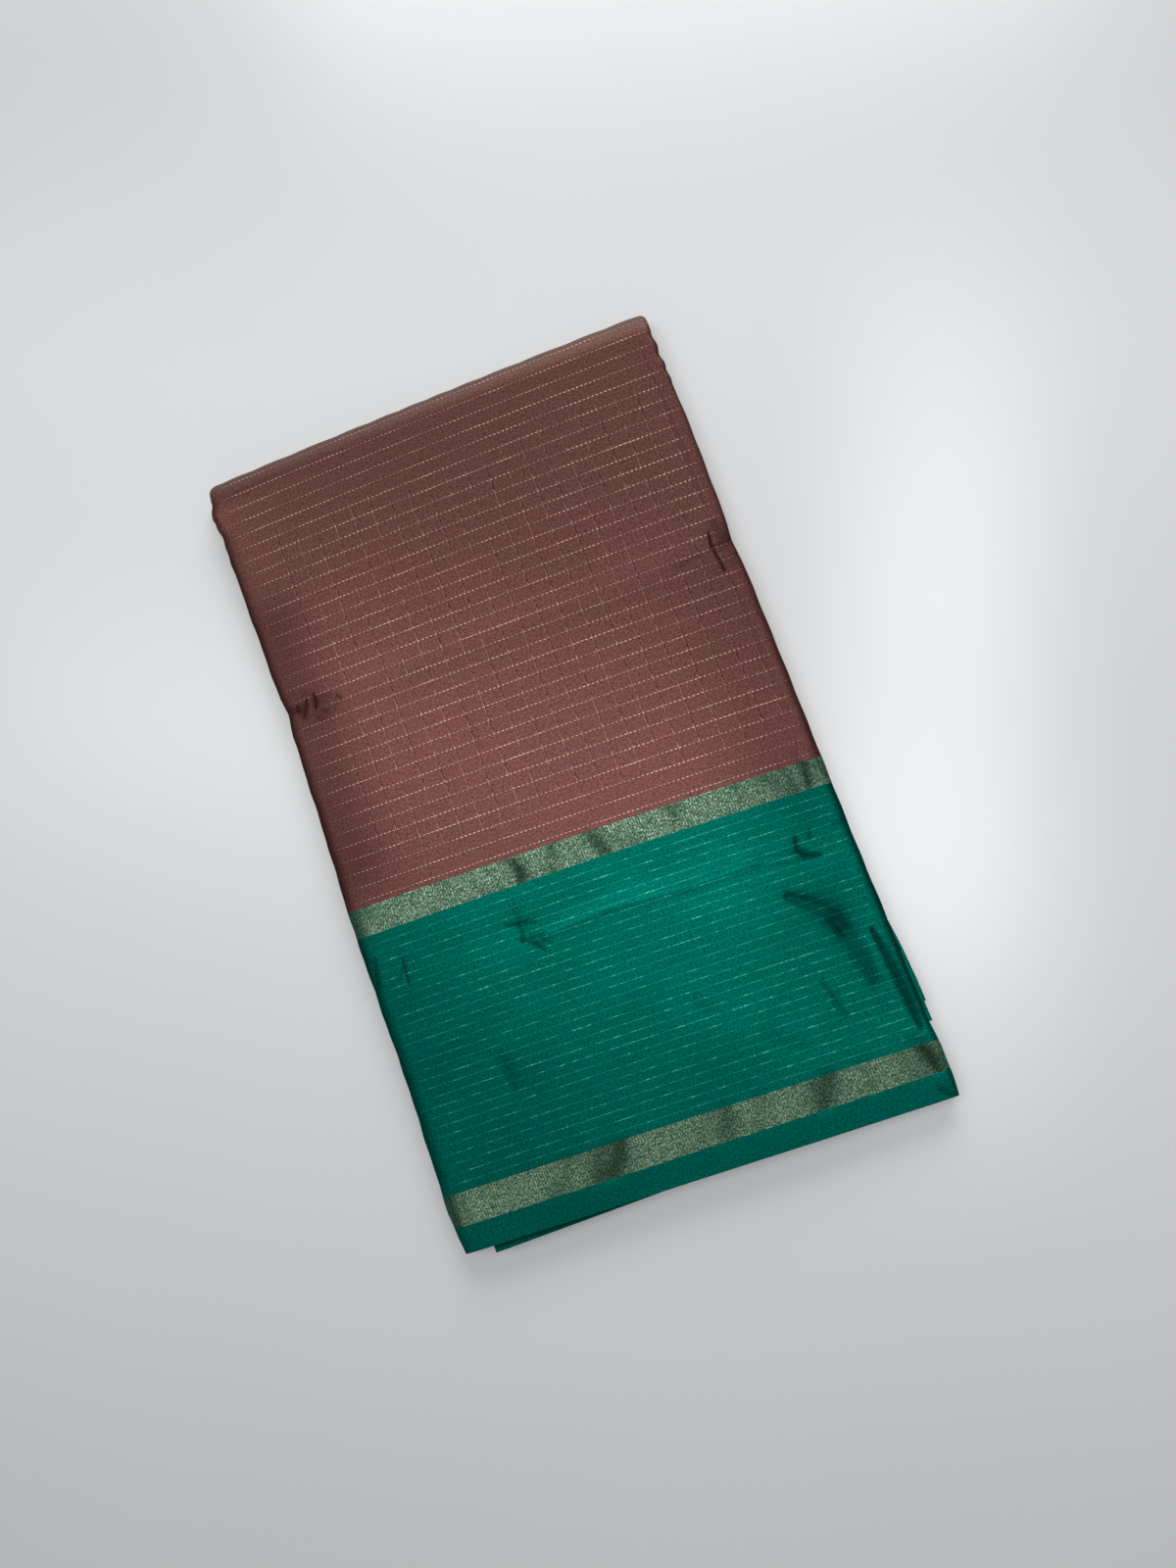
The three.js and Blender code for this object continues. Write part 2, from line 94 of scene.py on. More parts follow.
# pressed folds of the top leaf: depth, share of light lost along the line as painted shade (more than all
# of it where a crease is sharp), and the run of (x, y, half width); all below 0 on a ridge, where the
# share is painted highlight
FOLDS = [
    (1.1, 0.5, [(118, -136, 3), (128, -143, 6.5), (137, -151, 10), (143, -160, 10), (145, -168, 7)]),
    (0.8, 0.5, [(142, -162, 7), (147, -176, 9), (149.5, -190, 8.5), (152, -208, 5)]),
    (0.9, 0.74, [
        (162.5, -175, 1.3), (165.5, -194, 3.0), (167, -210, 3.9), (168.3, -228, 3.6), (169.4, -246, 1.4),
    ]),
    (0.15, 0.2, [(143, -189, 1.0), (152.4, -190.3, 1.0)]),
    (0.5, 0.88, [(137, -100, 1.3), (135.2, -108.5, 2.6), (139, -113.5, 3.4), (149, -117.2, 1.3)]),
    (0.3, 0.55, [(147.5, -98, 1.2), (146.4, -104, 2.0)]),
    (0.35, 0.5, [(164.5, -99.8, 1.2), (173.5, -100.5, 1.6)]),
    (0.35, 0.38, [(119, -197, 1.4), (122.7, -210.3, 2.8), (126, -224, 1.8)]),
    (0.5, 0.5, [(166.5, -287, 1.8), (171, -293, 3)]),
    # where a tie once pressed the left edge
    (0.45, 1.1, [(-150.6, 117, 1.1), (-149.8, 111.5, 2.2), (-151.5, 107, 1.4)]),
    (0.45, 0.95, [(-156.5, 114.5, 1.4), (-159.5, 109.5, 2.6), (-161.5, 104, 1.5)]),
    (0.3, 0.7, [(-165, 112, 1.4), (-163.5, 108, 1.8)]),
    (0.3, 0.65, [(-133.5, 110.5, 1.1), (-131.5, 106.5, 1.7)]),
    (0.2, 0.6, [(-147.5, 104.5, 1.1), (-144.5, 101.5, 1.7)]),
    (0.2, 0.5, [(-152.5, 99.5, 1.8), (-149, 97, 1.5)]),
    (0.2, 0.4, [(-145.5, 113.5, 1.2), (-139, 112, 1.0)]),
    (0.2, 0.4, [(-157.5, 120.5, 1.3), (-153, 118.5, 1.0)]),
    (0.6, 0.5, [(-173, 110.5, 2.6), (-165, 110.5, 1.8)]),
    (-0.2, -0.28, [(-154.5, 117, 1.4), (-154, 110, 1.8), (-156.5, 104, 1.4)]),
    (-0.2, -0.22, [(-146.5, 110, 1.5), (-142.5, 106.5, 1.5)]),
    (-0.1, -0.15, [(-147, 116, 1.5), (-138, 116.5, 1.5)]),
    # and the right one
    (0.3, 1.2, [(157.5, 122, 1.0), (155.7, 110, 1.6)]),
    (0.3, 1.2, [(156.2, 107.5, 1.1), (158.3, 91.5, 1.3)]),
    (0.35, 0.6, [(157, 111, 1.2), (166, 110.5, 2.6), (173, 109.5, 3.0)]),
    (0.3, 0.5, [(163, 126, 4.0), (167, 115, 6.0)]),
    (-0.15, -0.16, [(160, 104, 1.8), (171, 102, 2.0)]),
    (0.1, 0.3, [(128, 106, 2.5), (146, 108.5, 3.0)]),
    # a pressed line beside the right edge
    (0.12, 0.3, [(160.2, 262, 0.9), (161.8, 218, 1.2), (162.8, 180, 1.2), (161.5, 140, 0.9)]),
    (0.1, 0.18, [(160.5, 84, 1.0), (163, 30, 1.2), (164, -20, 1.0)]),
    # the star
    (0.4, 0.7, [(-72, -89.5, 0.9), (-62, -91.5, 1.8), (-50.5, -93.5, 0.9)]),
    (0.35, 0.6, [(-62.6, -92, 1.9), (-62.2, -98, 1.3), (-64, -103, 1.8)]),
    (0.3, 0.5, [(-64, -103, 1.8), (-57, -107, 1.3), (-51, -113.5, 1.9)]),
    (0.2, 0.4, [(-57, -103, 1.2), (-49, -103.5, 1.6)]),
    (0.2, 0.3, [(-50, -107, 1.3), (-46, -110.5, 1.5)]),
    (0.15, 0.3, [(-63, -80, 2.4), (-61.5, -88, 3.4)]),
    (0.1, 0.22, [(-59, -98, 6.0), (-54, -108, 7.0)]),
    (0.3, 0.6, [(-149.7, -87, 1.2), (-150.5, -96, 1.3), (-150.7, -104, 1.0)]),
    (0.2, 0.4, [(-151, -91.5, 0.9), (-156, -99, 1.0)]),
    (0.5, 0.4, [(-170, -82, 2.5), (-173, -98, 2.5)]),
    # ridges that catch the light, with painted highlight along them
    (-0.1, -0.3, [(-46, -104, 1.3), (4, -101.5, 1.8), (56, -106, 1.4)]),
    (-0.05, -0.12, [(-30, -97, 5), (20, -95, 6), (70, -99, 5)]),
    (-0.15, -0.3, [(62, -106.5, 1.6), (104, -106.8, 2.2), (130, -113.5, 2.0)]),
    (-0.1, -0.2, [(134, -119, 1.6), (150, -121, 2.0), (166, -116, 1.4)]),
    (-0.1, -0.18, [(156, -178, 1.8), (161, -205, 2.4), (163, -235, 1.6)]),
    (-0.1, -0.12, [(96, -98, 5), (128, -100, 4)]),
    # shallow dents
    (0.5, 0.3, [(-104, -176, 4), (-103.5, -186, 6), (-103, -196, 4)]),
    (0.3, 0.12, [(34, -180, 5), (38, -190, 5)]),
    (0.3, 0.12, [(76, -222, 8), (90, -234, 8)]),
    (0.25, 0.15, [(-46.5, 124, 1.5), (-46, 112, 1.5)]),
    (0.3, 0.15, [(-48, 68, 1.5), (-47, 36, 2.4)]),
]

# wrinkles of the two metallic bands, which the cloth beside them hardly shows, in the same form;
# a depth of 0 is painted shade alone, and a share below 0 painted highlight
BAND_FOLDS = [
    (0.4, 0.55, [(-56, -44, 4), (-50, -54, 8), (-46, -66, 7)]),
    (0.3, 0.75, [(-51, -49, 2), (-49.5, -58, 4), (-52, -68, 2.5)]),
    (0.4, 0.7, [(3, -44, 3), (8, -56, 5), (14, -68, 4.5)]),
    (0.2, 0.4, [(-22, -46, 3), (-27, -66, 3.5)]),
    (0.2, 0.3, [(62, -46, 4), (66, -68, 5)]),
    (0.3, 0.4, [(146, -50, 3), (149, -68, 4)]),
    (0.4, 0.85, [(160, -46, 3), (159.5, -62, 4.5), (158.6, -70, 3)]),
    (0.2, 0.3, [(170, -46, 3), (171, -70, 3)]),
    (0.4, 0.8, [(-43, -250, 6), (-50, -262, 10), (-60, -276, 8)]),
    (0.2, 0.5, [(-58, -250, 9), (-72, -276, 10)]),
    (0.2, 0.3, [(-84, -252, 6), (-96, -276, 7)]),
    (0.35, 0.52, [(31, -250, 5), (25, -264, 7), (20, -276, 5)]),
    (0, 0.22, [(18, -250, 11), (6, -276, 12)]),
    (0.2, 0.3, [(52, -252, 5), (46, -276, 6)]),
    (0.4, 0.48, [(104, -250, 5), (97, -262, 9), (90, -276, 6)]),
    (0, 0.28, [(98, -250, 14), (86, -276, 15)]),
    (0.2, 0.22, [(128, -250, 5), (124, -276, 6)]),
    (0.6, 0.9, [(160, -249, 4), (167, -262, 7), (170, -277, 5)]),
    (0.2, 0.6, [(-172, -252, 5), (-171, -276, 5)]),
    (-0.1, -0.16, [(-38, -250, 4), (-43, -276, 5)]),
    (-0.1, -0.16, [(40, -250, 4), (34, -276, 5)]),
    (-0.1, -0.14, [(-40, -47, 3), (-37, -66, 4)]),
    (-0.1, -0.14, [(20, -47, 4), (24, -66, 5)]),
]

# soft presses and ridges (a ridge is below 0): x0, y0, x1, y1, half width, depth
PRESSES = [
    (-146, 110, 157, 108, 13.0, 0.4),
    (-120, -93, 120, -93, 10.0, 0.3),
    (-54.5, -104, 0.6, -101, 3.5, -0.3),
    (0.6, -101, 56, -106.5, 3.5, -0.35),
    (56, -106.5, 105, -106.6, 3.5, -0.35),
    (105, -106.6, 134, -112, 3.0, -0.3),
]

# painted shade on broad parts of the top leaf that turn from the light, and painted highlight where they
# turn towards it
# and the share is below 0: x0, y0, x1, y1, half width, share lost
SHADES = [
    (-162, 175, -160, -10, 28.0, 0.49),
    (-178, 250, -177, -235, 7.0, 0.5),
    (175, 262, 176, -235, 6.0, 0.5),
    (152, 80, 154, -40, 38.0, 0.24),
    (-160, -80, -160, -180, 30.0, 0.12),
    (150, -80, 138, -150, 44.0, 0.32),
    (-158, 110, -146, 106, 11.0, 0.42),
    (164, 112, 166, 100, 9.0, 0.25),
    (-155, -200, -152, -290, 26.0, -0.1),
    (150, -196, 151, -222, 7.0, 0.14),
    (172, -205, 172, -235, 5.0, -0.12),
    (150, -76, 148, -92, 9.0, 0.1),
]

# broad swells of the top leaf: height, wavelength along x and y, phase
SWELLS = [
    (0.06, 118.0, 260.0, 0.4),
    (0.035, 57.0, -143.0, 2.1),
    (0.025, -34.0, 88.0, 4.0),
]
CROWN = 2.0  # how much lower the leaf lies where its side rolls start than along its middle
CROWN_POWER, CROWN_FADE = 2.6, 70.0  # how late it falls off, and the length over which it begins

FOLD_SHARPNESS = 1.6  # how fast the depth of a fold fades beside its line
FOLD_BOTTOM, FOLD_BOTTOM_ROOT = 0.06, 0.245  # rounds the bottom of a fold, and its square root
# the tone of a fold is its painted shade; the same rate shapes the depth of the bands' wrinkles
SHADE_SHARPNESS = 1.1  # how fast the tone of a fold fades beside its line
BAND_PLACES = ((-57.0, 14.0), (-263.0, 15.0))  # y of each metallic band's middle, and half its height
BAND_FADE = 5.0
CREASE_FADE = 14.0  # folds fade over this length before the top fold
FOLD_UNEVEN = 0.5  # how far the edge of the top fold wavers

RNG = np.random.default_rng(11)


def across(table, column, y):
    """A column of a table, read off at y."""
    return np.interp(y, table[:, 0], table[:, column])


def station_y(station, x):
    """Y of a weave line at x."""
    left, right = across(SKEW, 1, station), across(SKEW, 2, station)
    off = x / HALF_SPAN
    return station + off * (right - left) / 2 + off * off * (right + left) / 2


def height_at(station):
    """Height of the bundle, from the selvedge ends to the top fold."""
    return np.interp(station, [END_STATION, BEND_STATION], [END_HEIGHT, FOLD_HEIGHT])


def run_distance(x, y, run):
    """Square of the distance from a fold's line, in half widths of the fold there."""
    nearest = np.full(np.broadcast(x, y).shape, 99.0)
    for (x0, y0, half0), (x1, y1, half1) in zip(run, run[1:]):
        dx, dy = x1 - x0, y1 - y0
        along = np.clip(((x - x0) * dx + (y - y0) * dy) / (dx * dx + dy * dy), 0, 1)
        half = half0 + (half1 - half0) * along
        away2 = ((x - x0 - along * dx) ** 2 + (y - y0 - along * dy) ** 2) / half**2
        nearest = np.minimum(nearest, away2)
    return nearest


def banded(y):
    """1 on the metallic bands, going to 0 beside them."""
    shares = [np.clip((half - np.abs(y - middle)) / BAND_FADE, 0, 1) for middle, half in BAND_PLACES]
    return np.maximum(*shares)


def relief(x, y):
    """How far the top leaf lies below its plain form: folds, presses, broad swells and crown."""
    depth = np.zeros(np.broadcast(x, y).shape)
    bands = banded(y)
    for deep, _, run in BAND_FOLDS:
        depth = depth + bands * deep * np.exp(-SHADE_SHARPNESS * run_distance(x, y, run))
    for deep, _, run in FOLDS:
        away = np.sqrt(run_distance(x, y, run) + FOLD_BOTTOM) - FOLD_BOTTOM_ROOT
        depth = depth + deep * np.exp(-FOLD_SHARPNESS * away)
    for x0, y0, x1, y1, half, deep in PRESSES:
        depth = depth + deep * np.exp(-run_distance(x, y, [(x0, y0, half), (x1, y1, half)]))
    for high, wave_x, wave_y, phase in SWELLS:
        depth = depth + high * np.sin(2 * np.pi * (x / wave_x + y / wave_y) + phase)
    to_fold = np.clip((BEND_STATION - y) / CROWN_FADE, 0, 1)
    return depth + CROWN * np.abs(x / HALF_SPAN) ** CROWN_POWER * to_fold * (2 - to_fold)


def lost_light(x, y, in_band):
    """Painted shade: the share of light a point of the top leaf loses in a fold or a broad shaded part;
    below 0 it is painted highlight, on a ridge or a broad lit part.
    """
    kept = np.ones(np.broadcast(x, y).shape)
    for _, lost, run in FOLDS + (BAND_FOLDS if in_band else []):
        kept = kept * (1 - lost * np.exp(-SHADE_SHARPNESS * run_distance(x, y, run)))
    for x0, y0, x1, y1, half, lost in SHADES:
        kept = kept * (1 - lost * np.exp(-run_distance(x, y, [(x0, y0, half), (x1, y1, half)])))
    return np.clip(1 - kept, -1, 1)


def scallop(y, hand):
    """Small unevenness of a folded edge, strongest near the top fold."""
    near_top = np.clip((y - 225) / 25, 0, 1)
    if hand > 0:
        return 0.65 * near_top * np.sin(y / 1.9 + 2 * np.sin(y / 17)) + 0.18 * np.sin(y / 5.3)
    return 0.45 * near_top * np.sin(y / 2.3 + 1) + 0.22 * np.sin(y / 7.1) + 0.14 * np.sin(y / 3.7 + 1)


def edges_of(station):
    """X of the bundle's left and right edges where a weave line meets them."""
    left_y, right_y = station_y(station, -HALF_SPAN), station_y(station, HALF_SPAN)
    left = across(OUTLINE, 1, left_y) - scallop(left_y, -1)
    right = across(OUTLINE, 2, right_y) + scallop(right_y, 1)
    return left, right


def spaced(*runs):
    """Values along runs of (from, to, step)."""
    parts = [np.linspace(a, b, max(1, round((b - a) / step)), endpoint=False) for a, b, step in runs]
    return np.concatenate([*parts, [runs[-1][1]]])


# rows along the outer leaf: up the top, round the fold and back along the underside

BEND_TURNS = 22
TOP_ROWS = {
    "selvedge": spaced((END_STATION, -286, 1.2), (-286, SELVEDGE_TOP, 2)),
    "zari_lower": spaced((SELVEDGE_TOP, ZARI_LOWER_TOP, 1.8)),
    "border": spaced((ZARI_LOWER_TOP, -244, 2.4), (-244, -84, 1.4), (-84, BORDER_TOP, 2.2)),
    "zari_upper": spaced((BORDER_TOP, ZARI_UPPER_TOP, 1.8)),
    "body": spaced(
        (ZARI_UPPER_TOP, 34, 3.6), (34, 70, 2.4), (70, 90, 3.6), (90, 124, 1.1), (124, 245, 3.6),
        (245, BEND_STATION, 2),
    ),
}
UNDER_STEP = 7.0

TOP, BEND, UNDER = 0, 1, 2


def top_rows(zone):
    """Rows of the top, each a side, a station and a turn round the top fold."""
    return [(TOP, s, 0.0) for s in TOP_ROWS[zone]]


def under_rows(first, last):
    """Rows of the underside from a high station to a low one."""
    return [(UNDER, s, np.pi) for s in spaced((last, first, UNDER_STEP))[::-1]]


def bend_rows():
    """Rows round the top fold, from the top to the underside."""
    turns = np.linspace(0, np.pi, BEND_TURNS + 1)[1:-1]
    return [(BEND, BEND_STATION, t) for t in turns]


def is_below(rows):
    """Whether each row is on the lower half of the bundle."""
    return np.array([side == UNDER or turn > np.pi / 2 for side, _, turn in rows])


def place(rows, x, depth, crease):
    """Points of a grid of rows by columns, at a depth below the outer surface."""
    side, station, turn = (np.array(column)[:, None] for column in zip(*rows))
    y = station_y(station, x)
    high = height_at(station)
    radius = high / 2
    pressed = relief(x, y) * crease * np.clip((BEND_STATION - station) / CREASE_FADE, 0, 1)
    z = np.where(side == TOP, high - depth - pressed, np.where(side == UNDER, depth, 0))
    bent = side == BEND
    uneven = FOLD_UNEVEN * np.abs(np.sin(x / 8.5 + np.sin(x / 31)))
    reach = FOLD_REACH - depth + uneven
    y = np.where(bent, y + reach * np.sin(turn), y)
    z = np.where(bent, radius + (radius - depth) * np.cos(turn), z)
    return np.stack([np.broadcast_to(x, z.shape), y, z], axis=-1)


BEND_ANGLES = np.linspace(0, np.pi, 65)
BEND_STEPS = np.hypot(
    np.diff(FOLD_REACH * np.sin(BEND_ANGLES)), np.diff(FOLD_HEIGHT / 2 * np.cos(BEND_ANGLES))
)
BEND_ARC = np.concatenate([[0], np.cumsum(BEND_STEPS)])  # length of cloth round the top fold


def weave_of(rows, x):
    """What a woven pattern is placed by: x, and the station, which goes on round the fold."""
    side, station, turn = (np.array(column)[:, None] for column in zip(*rows))
    arc = np.interp(np.minimum(turn, np.pi - turn), BEND_ANGLES, BEND_ARC)
    woven = np.where(side == BEND, station + arc, station)
    far = np.where(is_below(rows)[:, None], 1.0, 0.0)
    return np.stack(np.broadcast_arrays(x, woven, far), axis=-1)


def painted_shading_of(rows, x, in_band):
    """Painted shade of the top leaf, as the share of light lost in its folds, for each point of a grid;
    below 0, painted highlight.
    """
    side, station, _ = (np.array(column)[:, None] for column in zip(*rows))
    lost = lost_light(x, station_y(station, x), in_band)
    return np.where(side == TOP, lost, 0.0)


ROLL_STEPS = 9
TUCK_STEPS, TUCK_TURN = 4, 0.8 * np.pi
FLAT_COLUMNS = spaced(
    (-168, -146, 0.9), (-146, -128, 1.2), (-128, -74, 3.6), (-74, -40, 1.4), (-40, 88, 3.6),
    (88, 114, 2), (114, 152, 1.2), (152, 164, 0.8), (164, 169, 1.2)
)


def leaf_columns(rows):
    """x, depth and crease share across an outer row: tucked and rolled edges round flat cloth."""
    station = np.array([row[1] for row in rows])[:, None]
    left, right = edges_of(station)
    share = (FLAT_COLUMNS - FLAT_COLUMNS[0]) / (FLAT_COLUMNS[-1] - FLAT_COLUMNS[0])
    inner_left, inner_right = left + ROLL_LEFT, right - ROLL_RIGHT
    flat_x = inner_left + (inner_right - inner_left) * share
    angle = np.linspace(0, np.pi / 2, ROLL_STEPS + 1)[1:]
    tuck = np.linspace(0, TUCK_TURN, TUCK_STEPS + 1)[1:]

    def edge(inner, sign, width):
        roll_x = inner + sign * width * np.sin(angle)
        roll_depth = ROLL_DEPTH * (1 - np.cos(angle))
        tuck_x = inner + sign * (width - TUCK * (1 - np.cos(tuck)))
        tuck_depth = ROLL_DEPTH + TUCK * np.sin(tuck)
        depth = np.concatenate([roll_depth, tuck_depth])
        fade = np.concatenate([np.cos(angle), np.zeros(TUCK_STEPS)])
        return np.concatenate([roll_x, tuck_x], axis=1), depth, fade

    right_x, right_depth, right_fade = edge(inner_right, 1, ROLL_RIGHT)
    left_x, left_depth, left_fade = edge(inner_left, -1, ROLL_LEFT)
    x = np.concatenate([left_x[:, ::-1], flat_x, right_x], axis=1)
    flat = np.zeros(len(FLAT_COLUMNS))
    depth = np.concatenate([left_depth[::-1], flat, right_depth])
    fade = np.concatenate([left_fade[::-1], flat + 1, right_fade])
    return x, depth, fade


# meshes

def grid_faces(rows, columns, start=0, flip=False):
    """Quads of a grid of points whose numbers begin at start."""
    i = np.arange(rows - 1)[:, None] * columns + np.arange(columns - 1) + start
    quads = np.stack([i, i + 1, i + columns + 1, i + columns], axis=-1).reshape(-1, 4)
    return quads[:, ::-1] if flip else quads


def grid_normals(points):
    """Outward directions of a grid of points."""
    along, over = np.gradient(points, axis=0), np.gradient(points, axis=1)
    normal = np.cross(over, along)
    return normal / np.linalg.norm(normal, axis=-1, keepdims=True)


def shell(points, thickness):
    """Points and faces of a closed sheet: the grid, a copy set in by the thickness, and a rim."""
    rows, columns = points.shape[:2]
    inner = points - thickness * grid_normals(points)
    count = rows * columns
    index = np.arange(count).reshape(rows, columns)
    rim = np.concatenate([index[0, :-1], index[:-1, -1], index[-1, :0:-1], index[:0:-1, 0]])
    after = np.roll(rim, -1)
    sides = np.stack([rim, rim + count, after + count, after], axis=-1)
    faces = np.concatenate([
        grid_faces(rows, columns), grid_faces(rows, columns, count, flip=True), sides,
    ])
    return np.concatenate([points.reshape(-1, 3), inner.reshape(-1, 3)]), faces


def add_object(name, data):
    made = bpy.data.objects.new(name, data)
    bpy.context.scene.collection.objects.link(made)
    return made


def piece(name, points, faces, weave, look, floats, weld=0.0, crisp=50):
    """A finished mesh piece that rides on the part."""
    mesh = bpy.data.meshes.new(name)
    mesh.from_pydata(((points + np.array(shift)) / 1000).tolist(), [], faces.tolist())
    mesh.attributes.new("weave", "FLOAT_VECTOR", "POINT").data.foreach_set("vector", weave.reshape(-1))
    for attribute, values in floats.items():
        mesh.attributes.new(attribute, "FLOAT", "POINT").data.foreach_set("value", values)
    built = bmesh.new()
    built.from_mesh(mesh)
    if weld:
        bmesh.ops.remove_doubles(built, verts=built.verts, dist=weld)
    bmesh.ops.recalc_face_normals(built, faces=built.faces)
    for face in built.faces:
        face.smooth = True
    limit = np.radians(crisp)
    for edge in built.edges:
        edge.smooth = bool(edge.is_manifold and edge.calc_face_angle(0) < limit)
    built.to_mesh(mesh)
    built.free()
    mesh.materials.append(SILK[look])
    made = add_object(name, mesh)
    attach(made, "root")
    return made


# node materials

def srgb(r, g, b):
    """A colour from its screen values."""
    c = np.array([r, g, b]) / 255
    linear = np.where(c <= 0.04045, c / 12.92, ((c + 0.055) / 1.055) ** 2.4)
    return (*linear.tolist(), 1.0)


class Graph:
    """Short calls for building a material's nodes."""

    def __init__(self, name):
        self.material = bpy.data.materials.new(name)
        self.material.use_nodes = True
        self.nodes = self.material.node_tree.nodes
        self.links = self.material.node_tree.links
        self.shader = self.nodes["Principled BSDF"]

    def put(self, socket, value):
        if isinstance(value, bpy.types.NodeSocket):
            self.links.new(value, socket)
        elif socket.type == "VECTOR":
            socket.default_value = value[:3]
        else:
            socket.default_value = value

    def math(self, operation, a, b=0.0):
        node = self.nodes.new("ShaderNodeMath")
        node.operation = operation
        self.put(node.inputs[0], a)
        self.put(node.inputs[1], b)
        return node.outputs[0]

    def add(self, a, b):
        return self.math("ADD", a, b)

    def sub(self, a, b):
        return self.math("SUBTRACT", a, b)

    def mul(self, a, b):
        return self.math("MULTIPLY", a, b)

    def abs(self, a):
        return self.math("ABSOLUTE", a)

    def smooth(self, value, low, high, to_low=0.0, to_high=1.0):
        """Goes smoothly from to_low at low to to_high at high."""
        node = self.nodes.new("ShaderNodeMapRange")
        node.interpolation_type = "SMOOTHSTEP"
        for socket, given in zip(node.inputs, (value, low, high, to_low, to_high)):
            self.put(socket, given)
        return node.outputs[0]

    def attribute(self, name, output="Vector"):
        node = self.nodes.new("ShaderNodeAttribute")
        node.attribute_name = name
        return node.outputs[output]

    def split(self, vector):
        node = self.nodes.new("ShaderNodeSeparateXYZ")
        self.put(node.inputs[0], vector)
        return node.outputs

    def join(self, x, y, z=0.0):
        node = self.nodes.new("ShaderNodeCombineXYZ")
        for socket, given in zip(node.inputs, (x, y, z)):
            self.put(socket, given)
        return node.outputs[0]

    def noise(self, x, y, z=0.0, detail=1.0):
        """Noise from 0 to 1, mostly between 0.3 and 0.7, one unit of x, y or z to a blob."""
        node = self.nodes.new("ShaderNodeTexNoise")
        node.inputs["Scale"].default_value = 1.0
        node.inputs["Detail"].default_value = detail
        self.put(node.inputs["Vector"], self.join(x, y, z))
        return node.outputs["Fac"]

    def blobs(self, x, y, width, height, z=0.0, detail=1.0):
        """Noise whose blobs are a width along x and a height along y."""
        return self.noise(self.mul(x, 1 / width), self.mul(y, 1 / height), z, detail)

    def speckle(self, index):
        """One random number for each whole index."""
        node = self.nodes.new("ShaderNodeTexWhiteNoise")
        node.noise_dimensions = "1D"
        self.put(node.inputs["W"], index)
        return node.outputs["Value"]

    def mix(self, share, a, b):
        node = self.nodes.new("ShaderNodeMix")
        node.data_type = "RGBA"
        self.put(node.inputs["Factor"], share)
        self.put(node.inputs["A"], a)
        self.put(node.inputs["B"], b)
        return node.outputs["Result"]

    def shade(self, colour, share):
        """A colour times a brightness."""
        node = self.nodes.new("ShaderNodeVectorMath")
        node.operation = "SCALE"
        self.put(node.inputs[0], colour)
        self.put(node.inputs["Scale"], share)
        return node.outputs[0]

    def bump(self, height, distance, strength=1.0):
        node = self.nodes.new("ShaderNodeBump")
        node.inputs["Strength"].default_value = strength
        node.inputs["Distance"].default_value = distance
        self.put(node.inputs["Height"], height)
        self.put(self.shader.inputs["Normal"], node.outputs[0])

    def centred(self, value):
        """Signed distance from the nearest whole number, and that number."""
        whole = self.math("FLOOR", self.add(value, 0.5))
        return self.sub(value, whole), whole

    def kept(self):
        """Share of light that the painted shade of the folds leaves."""
        return self.sub(1.0, self.attribute("painted_shading", "Fac"))

    def folded(self, colour, deep):
        """A colour with painted shade: it goes to a deep one inside the folds, and painted highlight makes
        it brighter on their ridges.
        """
        painted_shading = self.attribute("painted_shading", "Fac")
        return self.shade(self.mix(painted_shading, colour, deep), self.math("MAXIMUM", self.kept(), 1.0))

    def finish(self, colour, roughness, specular, tint, metallic=0.0):
        self.put(self.shader.inputs["Base Color"], colour)
        self.put(self.shader.inputs["Roughness"], roughness)
        self.put(self.shader.inputs["Metallic"], metallic)
        self.shader.inputs["Specular IOR Level"].default_value = specular
        self.shader.inputs["Specular Tint"].default_value = tint
        return self.material


BODY = srgb(102, 67, 60)
BODY_ROSE = srgb(105, 66, 62)
# a greyer colour round the top fold: painted sheen
BODY_FOLD_SHEEN = srgb(97, 78, 68)
BODY_DEEP = srgb(82, 50, 46)
# the brown's deep colour of painted shade inside the folds
BODY_FOLD_SHADE = srgb(42, 15, 17)
BODY_ZARI = srgb(226, 184, 170)
GREEN = srgb(0, 92, 80)
GREEN_LIGHT = srgb(0, 98, 86)
GREEN_DEEP = srgb(0, 84, 72)
# the green's deep colour of painted shade inside the folds
GREEN_FOLD_SHADE = srgb(0, 34, 28)
GREEN_LINE = srgb(12, 158, 134)
GREEN_ZARI = srgb(126, 236, 206)
BAND_GOLD = srgb(190, 222, 186)
BAND_GREY_GOLD = srgb(176, 206, 170)
BAND_GROUND = srgb(4, 70, 54)

# the weave: pitch of its lines and where one of them lies, in the plan's millimetres
BODY_PITCH, BODY_FIRST = 10.42, -43.2
BORDER_PITCH, BORDER_FIRST, BORDER_LAST = 6.634, -246.0, -73.5
CROSS_PITCH, CROSS_FIRST = 14.9, -4.4
RIB_PITCH, BEAD_PITCH = 1.9, 1.25
DASH = 3.3
LINE_EDGE = (0.42, 0.12)  # half width of a line where it begins, and where it is full
KNOT_ABOVE = 0.08 * BODY_PITCH  # how far above a line its knots with the crossing lines lie


